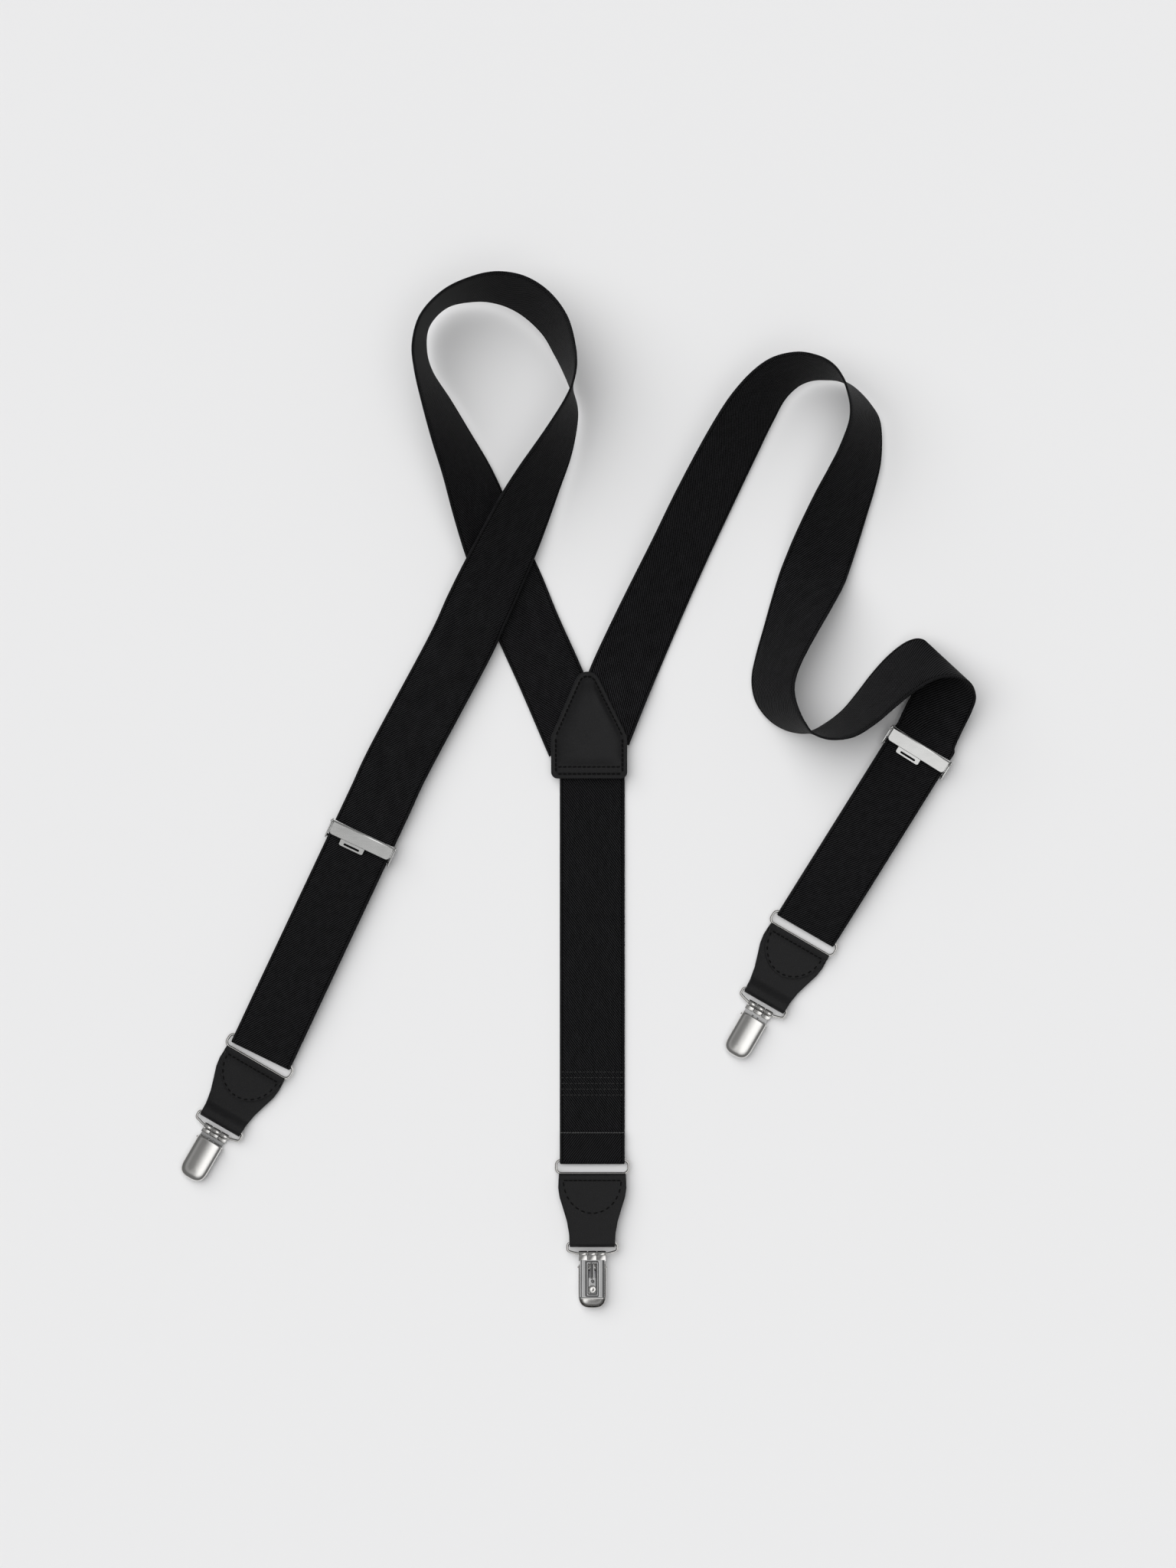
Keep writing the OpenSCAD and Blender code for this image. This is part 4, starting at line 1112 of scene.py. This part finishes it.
class SUSPENDERS_OT_adjusters(bpy.types.Operator):
    """Lever adjusters: side cheeks with a pin, a rolled lever plate and its thumb tongue"""

    bl_idname = "suspenders.adjusters"
    bl_label = "Adjusters"

    def execute(self, context):
        satin, edge = satin_nickel(), settings("fittings").bevel / MM
        for side in ("left", "right"):
            m = adjuster_frame_matrix(side)
            pin = m @ Matrix.Translation((0, LEVER_PIN_Y, LEVER_PIN_Z))
            # frame: two cheeks, the gripping rail between them and the bar for the webbing's end
            parts = []
            cheek = [(-5.6, 0.9), (4.6, 0.9), (4.9, 4.0), (5.6, 6.4)] + arc(LEVER_PIN_Y, LEVER_PIN_Z, 1.5, 0,
                    180, 10) + [(2.6, 6.4), (-4.4, 6.4), (-5.6, 5.2)]
            upright = Matrix(((0, 0, 1, 0), (1, 0, 0, 0), (0, 1, 0, 0), (0, 0, 0, 1)))
            for x in (-19.1, 18.4):
                parts.append(plate_mesh("cheek", cheek, x, x + 0.7, satin, m @ upright, bevel=edge))
            parts.append(plate_mesh("rail", rounded_box(-18.9, -1.3, 18.9, 4.3, 0.3), 3.6, 4.4, satin, m,
                                    bevel=edge))
            parts.append(bar_mesh("bar", 37.4, 0.8, satin, m @ Matrix.Translation((0, -FRAME_BAR_U, AXIS_Z))))
            body = joined(parts, side + "_adjuster_cheeks")
            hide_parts(side + "_adjuster_frame")
            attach(body, side + "_adjuster")
            axle = bar_mesh(side + "_adjuster_axle", 39.0, 0.6, satin, pin)
            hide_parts(side + "_adjuster_pin")
            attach(axle, side + "_adjuster")
            # lever: rolled hinge, pressed plate with rounded lower corners, tongue with a slot
            low = LEVER_PIN_Y - 6.9
            z = LEVER_PIN_Z + 0.4
            plate = (arc(-17.7 + 2, low + 2, 2, 180, 270, 8) + arc(17.7 - 2, low + 2, 2, 270, 360, 8)
                     + [(17.7, LEVER_PIN_Y + 0.1), (-17.7, LEVER_PIN_Y + 0.1)])
            parts = [plate_mesh("flap", plate, z, z + 0.8, satin, m, bevel=0.25)]
            parts.append(bar_mesh("roll", 35.4, 1.2, satin, pin, hole=0.66))
            tongue = rounded_box(-10.2, low - 3.4, 3.8, low + 1.0, 1.0)
            slot = rounded_box(-7.7, low - 2.4, 1.3, low - 1.4, 0.45)
            parts.append(plate_mesh("tongue", tongue, z - 0.5, z + 0.2, satin, m, bevel=edge, holes=[slot]))
            for k in range(-7, 8):
                tooth = [(-1.1, 0), (-0.45, -1.22), (0.2, -1.1), (0.2, 0)]
                parts.append(plate_mesh("tooth", tooth, 2.3 * k - 0.6, 2.3 * k + 0.6, satin, pin @ upright,
                                        bevel=0))
            lever = joined(parts, side + "_adjuster_flap")
            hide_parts(side + "_adjuster_lever")
            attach(lever, side + "_lever")
        return {"FINISHED"}


# ---- clips ----

PLATE_Z, PLATE_T, CLIP_L = -1.95, 0.7, 24.2
PIVOT_Y, PIVOT_Z = -7.2, 0.2
COVER_TOP_Y, COVER_L, COVER_END_L, COVER_W, COVER_Z = -5.7, 23.5, 8.0, 15.0, 3.4


def shield_line(inset, n=16):
    """Open outline of the cover: down the left side, round the end and up the right side."""
    r, length = COVER_W / 2 - inset, COVER_END_L - inset
    end = COVER_TOP_Y - (COVER_L - COVER_END_L)
    left = [(-r, COVER_TOP_Y + (end - COVER_TOP_Y) * k / 8) for k in range(8)]
    turn = []
    for k in range(2 * n + 1):
        c, s = math.cos(math.pi * k / (2 * n)), math.sin(math.pi * k / (2 * n))
        turn.append((-r * math.copysign(abs(c) ** 0.7, c), end - length * s ** 0.7))
    return left + turn + [(-x, y) for x, y in reversed(left)]


def cover_mesh(name, material, matrix):
    """Domed shield with side walls, open at its upper end, 0.6 mm thick."""
    levels = [(0.0, -1.15), (0.0, 0.3), (0.04, 0.95), (0.22, 1.5), (0.6, 1.95), (1.2, 2.3), (2.1, 2.62),
              (3.2, 2.88), (4.4, 3.06),
              (5.6, 3.16), (6.7, 3.21)]
    verts, faces = [], []
    n = len(shield_line(0))
    for inset, z in levels:
        for x, y in shield_line(inset):
            along = (y - COVER_TOP_Y) / -COVER_L
            crown = 0.16 * math.sin(math.pi * min(1.0, max(0.0, along))) * smoothstep((z + 0.5) / 2)
            verts.append((x, y, z + crown))
    for j in range(len(levels) - 1):
        for k in range(n - 1):
            faces.append((j * n + k, j * n + k + 1, (j + 1) * n + k + 1, (j + 1) * n + k))
    last = (len(levels) - 1) * n
    for k in range(n // 2):
        a, b, c, d = last + k, last + k + 1, last + n - 2 - k, last + n - 1 - k
        if b < c:
            faces.append((a, b, c, d))
        elif b == c:
            faces.append((a, b, d))
    obj = add_object(name, verts, faces, material)
    solid = obj.modifiers.new("Sheet", "SOLIDIFY")
    solid.thickness = 0.6
    solid.offset = -1
    smooth = obj.modifiers.new("Smooth", "SUBSURF")
    smooth.levels = smooth.render_levels = 1
    apply_modifiers(obj)
    obj.data.transform(matrix)
    if matrix.determinant() < 0:
        obj.data.flip_normals()
    obj.data.shade_smooth()
    return obj


def clip_back_plate(name, material, matrix):
    """Back plate of the clip: pressed frame, two slots and a dimple; the bright toothed lip is added by the clips
    operator.
    """
    step_x, step_y = 0.335, 0.35
    nx, ny = 40, 60
    verts, faces = [], []

    def relief(x, d):
        # outside of the plate is its lower face; the pressed frame stands out of it
        h = 0.0
        edge = max(abs(x) - 3.3, 4.0 - d, d - 22.6)
        h += 0.5 * smoothstep((0.75 - abs(edge + 0.55)) / 0.5)
        h += 0.4 * smoothstep((0.55 - abs(x)) / 0.4) * smoothstep((13.4 - d) / 0.6) * smoothstep((d - 4.6) / 0.6)
        h -= 0.45 * smoothstep((0.9 - math.hypot(x, d - 14.6)) / 0.6)
        h += 0.45 * smoothstep((abs(x) - 5.7) / 0.5)
        h -= 0.4 * smoothstep((d - 23.2) / 0.7)
        return h

    for i in range(ny + 1):
        for j in range(nx + 1):
            x, d = -6.7 + step_x * j, 3.2 + step_y * i
            verts.append((x, -d, PLATE_Z - relief(x, d)))
    base = len(verts)
    for i in range(ny + 1):
        for j in range(nx + 1):
            x, d = -6.7 + step_x * j, 3.2 + step_y * i
            verts.append((x, -d, PLATE_Z + PLATE_T))
    open_cells = set()
    for i in range(ny):
        for j in range(nx):
            x, d = -6.7 + step_x * (j + 0.5), 3.2 + step_y * (i + 0.5)
            if 5.0 < d < 12.6 and abs(abs(x) - 1.65) < 0.5:
                open_cells.add((i, j))
    w = nx + 1
    for i in range(ny):
        for j in range(nx):
            if (i, j) in open_cells:
                continue
            a, b, c, d = i * w + j, i * w + j + 1, (i + 1) * w + j + 1, (i + 1) * w + j
            faces.append((a, b, c, d))
            faces.append((base + d, base + c, base + b, base + a))
            for (p, q), (ii, jj) in (((a, b), (i - 1, j)), ((b, c), (i, j + 1)), ((c, d), (i + 1, j)),
                                     ((d, a), (i, j - 1))):
                if not (0 <= ii < ny and 0 <= jj < nx) or (ii, jj) in open_cells:
                    faces.append((q, p, base + p, base + q))
    obj = add_object(name, verts, faces, material, matrix=matrix)
    obj.data.set_sharp_from_angle(angle=math.radians(50))
    return obj


class SUSPENDERS_OT_clips(bpy.types.Operator):
    """Spring clips: back plate on a rolled tube, domed cover, pivot pin, leaf spring and rivet"""

    bl_idname = "suspenders.clips"
    bl_label = "Clips"

    def execute(self, context):
        bright, edge = bright_nickel(), settings("fittings").bevel / MM
        for side in ("back", "left", "right"):
            m = clip_frame(side)
            upright = Matrix(((0, 0, 1, 0), (1, 0, 0, 0), (0, 1, 0, 0), (0, 0, 0, 1)))
            parts = [clip_back_plate("plate", clip_nickel(), m)]
            for x in (-5, 0, 5):
                parts.append(bar_mesh("knuckle", 4.6, 1.65, bright, m @ Matrix.Translation((x, 0, 0)),
                                      hole=0.86))
                neck = [(-3.8, PLATE_Z), (-0.6, PLATE_Z + 0.36), (-1.2, -0.95), (-3.8, PLATE_Z + PLATE_T)]
                parts.append(plate_mesh("neck", neck, x - 2.25, x + 2.25, bright, m @ upright, bevel=0.1))
            for s in (-1, 1):
                x0 = 6.0 if s > 0 else -6.7
                ear = arc(PIVOT_Y, PIVOT_Z, 1.1, 0, 180, 10) + [(PIVOT_Y - 2.2, PLATE_Z + 0.4),
                                                                (PIVOT_Y + 1.1, PLATE_Z + 0.4)]
                parts.append(plate_mesh("ear", ear, x0, x0 + 0.7, bright, m @ upright, bevel=edge))
            lip = [(-CLIP_L, PLATE_Z + 0.1), (-CLIP_L + 0.7, PLATE_Z + 0.1), (-CLIP_L + 0.7, 0.35),
                   (-CLIP_L, 0.35)]
            parts.append(plate_mesh("lip", lip, -6.0, 6.0, bright, m @ upright, bevel=edge))
            for k in range(-2, 3):
                tooth = [(2.2 * k - 0.8, 0.3), (2.2 * k + 0.8, 0.3), (2.2 * k, 1.0)]
                face = Matrix(((1, 0, 0, 0), (0, 0, 1, 0), (0, 1, 0, 0), (0, 0, 0, 1)))
                parts.append(plate_mesh("tooth", tooth, -CLIP_L, -CLIP_L + 0.7, bright, m @ face, bevel=0))
            body = joined(parts, side + "_clip_plate")
            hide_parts(side + "_clip_body")
            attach(body, side + "_clip")
            cover = cover_mesh(side + "_clip_shield", bright, m)
            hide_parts(side + "_clip_cover")
            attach(cover, side + "_cover")
            pin = bar_mesh(side + "_clip_axle", COVER_W + 0.8, 0.6, bright,
                           m @ Matrix.Translation((0, PIVOT_Y, PIVOT_Z)))
            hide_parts(side + "_clip_pin")
            head = []
            for z0, r in ((PLATE_Z, 2.25), (PLATE_Z - 0.22, 2.1), (PLATE_Z - 0.38, 1.6),
                          (PLATE_Z - 0.42, 0.9), (PLATE_Z - 0.32, 0.55)):
                head.append([(x, y - 19, z0) for x, y in arc(0, 0, r, 0, 360, 32)[:-1]])
            verts = [v for ring in head for v in ring]
            n = 32
            faces = [(j * n + k, j * n + (k + 1) % n, (j + 1) * n + (k + 1) % n,
                      (j + 1) * n + k) for j in range(4) for k in range(n)]
            faces += [tuple(range(n)), tuple(4 * n + k for k in range(n))]
            rivet = joined([add_object("head", verts, faces, bright, matrix=m),
                            plate_mesh("shank", arc(0, -19, 1.0, 0, 360, 24)[:-1], PLATE_Z,
                                       PLATE_Z + PLATE_T + 0.5, bright, m, bevel=0)],
                           side + "_clip_rivet_head")
            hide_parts(side + "_clip_rivet")
            z = PLATE_Z + PLATE_T
            leaf = [(-21.2, z), (-14, z), (-9, z + 0.35), (-9, z + 0.7), (-14.1, z + 0.35), (-21.2, z + 0.35)]
            spring = plate_mesh(side + "_clip_leaf", leaf, -4, 4, spring_steel(), m @ upright, bevel=0.08)
            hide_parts(side + "_clip_spring")
            for obj in (pin, rivet, spring):
                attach(obj, side + "_clip")
        return {"FINISHED"}


# ---- surface, light and camera ----


class SUSPENDERS_OT_stage(bpy.types.Operator):
    """Pale surface, one large soft light and a camera looking straight down"""

    bl_idname = "suspenders.stage"
    bl_label = "Surface, light and camera"

    def execute(self, context):
        s = settings("stage")
        scene = context.scene
        mat, tree, shader, link = node_tree("pale_surface")
        if tree is not None:
            grain = noise(tree, 6.0, 3.0)
            pale = tuple(s.floor)
            link(blend_colour(tree, grain, tuple(x * 0.985 for x in pale), pale), shader.inputs["Base Color"])
            shader.inputs["Roughness"].default_value = 0.9
        bpy.ops.mesh.primitive_plane_add(size=12, location=(0, 0, -0.0004))
        floor = context.object
        floor.name = "surface"
        floor.data.materials.append(mat)
        sun = bpy.data.lights.new("main_light", "SUN")
        sun.energy = s.key
        sun.angle = math.radians(75)
        lamp = bpy.data.objects.new("main_light", sun)
        scene.collection.objects.link(lamp)
        lamp.location = (-0.95, 0.85, 1.6)
        lamp.rotation_euler = (-lamp.location).to_track_quat("-Z", "Y").to_euler()
        lamp.visible_glossy = False  # the fittings mirror the room alone
        # the room is dim all round, with one broad pale ceiling panel that is brighter towards the front right
        world = bpy.data.worlds.new("soft_room")
        world.use_nodes = True
        tree = world.node_tree
        coords = tree.nodes.new("ShaderNodeTexCoord")
        split = tree.nodes.new("ShaderNodeSeparateXYZ")
        tree.links.new(coords.outputs["Generated"], split.inputs[0])
        x, y, z = split.outputs
        lean = math_node(tree, "SUBTRACT", math_node(tree, "MULTIPLY", x, 1.0),
                         math_node(tree, "MULTIPLY", y, 0.5))
        slant = math_node(tree, "SMOOTH_MIN", math_node(tree, "MULTIPLY_ADD", lean, s.ceiling_slope,
                                                        s.ceiling), 1.35, 0.3)
        slant = math_node(tree, "SMOOTH_MAX", slant, 0.22, 0.1)
        ramp = tree.nodes.new("ShaderNodeValToRGB")
        for k, (at, level) in enumerate(((0.05, 0.6), (0.35, 0.16), (0.80, 0.16), (0.95, 1.0))):
            mark = ramp.color_ramp.elements[k] if k < 2 else ramp.color_ramp.elements.new(at)
            mark.position = at
            mark.color = (level, level, level, 1)
        tree.links.new(z, ramp.inputs["Fac"])
        high = math_node(tree, "SUBTRACT", math_node(tree, "MULTIPLY", z, 6.0), 4.6)
        high = math_node(tree, "MINIMUM", math_node(tree, "MAXIMUM", high, 0.0), 1.0)
        level = tree.nodes.new("ShaderNodeMix")
        tree.links.new(high, level.inputs[0])
        tree.links.new(ramp.outputs["Color"], level.inputs[2])
        tree.links.new(slant, level.inputs[3])
        tree.links.new(level.outputs[0], tree.nodes["Background"].inputs["Color"])
        tree.nodes["Background"].inputs["Strength"].default_value = s.room
        scene.world = world
        scene.view_settings.view_transform = "Standard"
        lens = bpy.data.cameras.new("camera")
        lens.lens = 100.0
        lens.sensor_width = 36.0
        lens.clip_start = 0.1
        camera = bpy.data.objects.new("camera", lens)
        scene.collection.objects.link(camera)
        camera.location = Vector((0.0074, 0.0058, s.camera_height)) + ORIGIN_SHIFT * MM
        camera.rotation_euler = (0, 0, 0)
        scene.camera = camera
        return {"FINISHED"}


OPERATORS = (
    SUSPENDERS_OT_back_strap, SUSPENDERS_OT_front_straps, SUSPENDERS_OT_patch, SUSPENDERS_OT_rings,
    SUSPENDERS_OT_tabs,
    SUSPENDERS_OT_clip_wires, SUSPENDERS_OT_clips, SUSPENDERS_OT_adjusters, SUSPENDERS_OT_stage,
)
GROUPS = {"webbing": WebbingSettings, "leather": LeatherSettings, "fittings": FittingSettings,
          "stage": StageSettings}


class SUSPENDERS_PT_pieces(bpy.types.Panel):
    """The pieces and their settings"""

    bl_idname = "SUSPENDERS_PT_pieces"
    bl_label = "Suspenders"
    bl_space_type = "VIEW_3D"
    bl_region_type = "UI"
    bl_category = "Suspenders"

    def draw(self, context):
        for kind, group in GROUPS.items():
            box = self.layout.box()
            box.label(text=kind.capitalize())
            for name in group.__annotations__:
                box.prop(settings(kind), name)
        for operator in OPERATORS:
            self.layout.operator(operator.bl_idname)


def register():
    for kind, group in GROUPS.items():
        bpy.utils.register_class(group)
        setattr(bpy.types.Scene, "suspenders_" + kind, bpy.props.PointerProperty(type=group))
    for cls in (*OPERATORS, SUSPENDERS_PT_pieces):
        bpy.utils.register_class(cls)


def unregister():
    for cls in reversed((*OPERATORS, SUSPENDERS_PT_pieces)):
        bpy.utils.unregister_class(cls)
    for kind, group in GROUPS.items():
        delattr(bpy.types.Scene, "suspenders_" + kind)
        bpy.utils.unregister_class(group)


def main():
    register()
    bpy.ops.suspenders.back_strap()
    bpy.ops.suspenders.front_straps()
    bpy.ops.suspenders.patch()
    bpy.ops.suspenders.rings()
    bpy.ops.suspenders.tabs()
    bpy.ops.suspenders.clip_wires()
    bpy.ops.suspenders.clips()
    bpy.ops.suspenders.adjusters()
    bpy.ops.suspenders.stage()


if __name__ == "__main__":
    main()
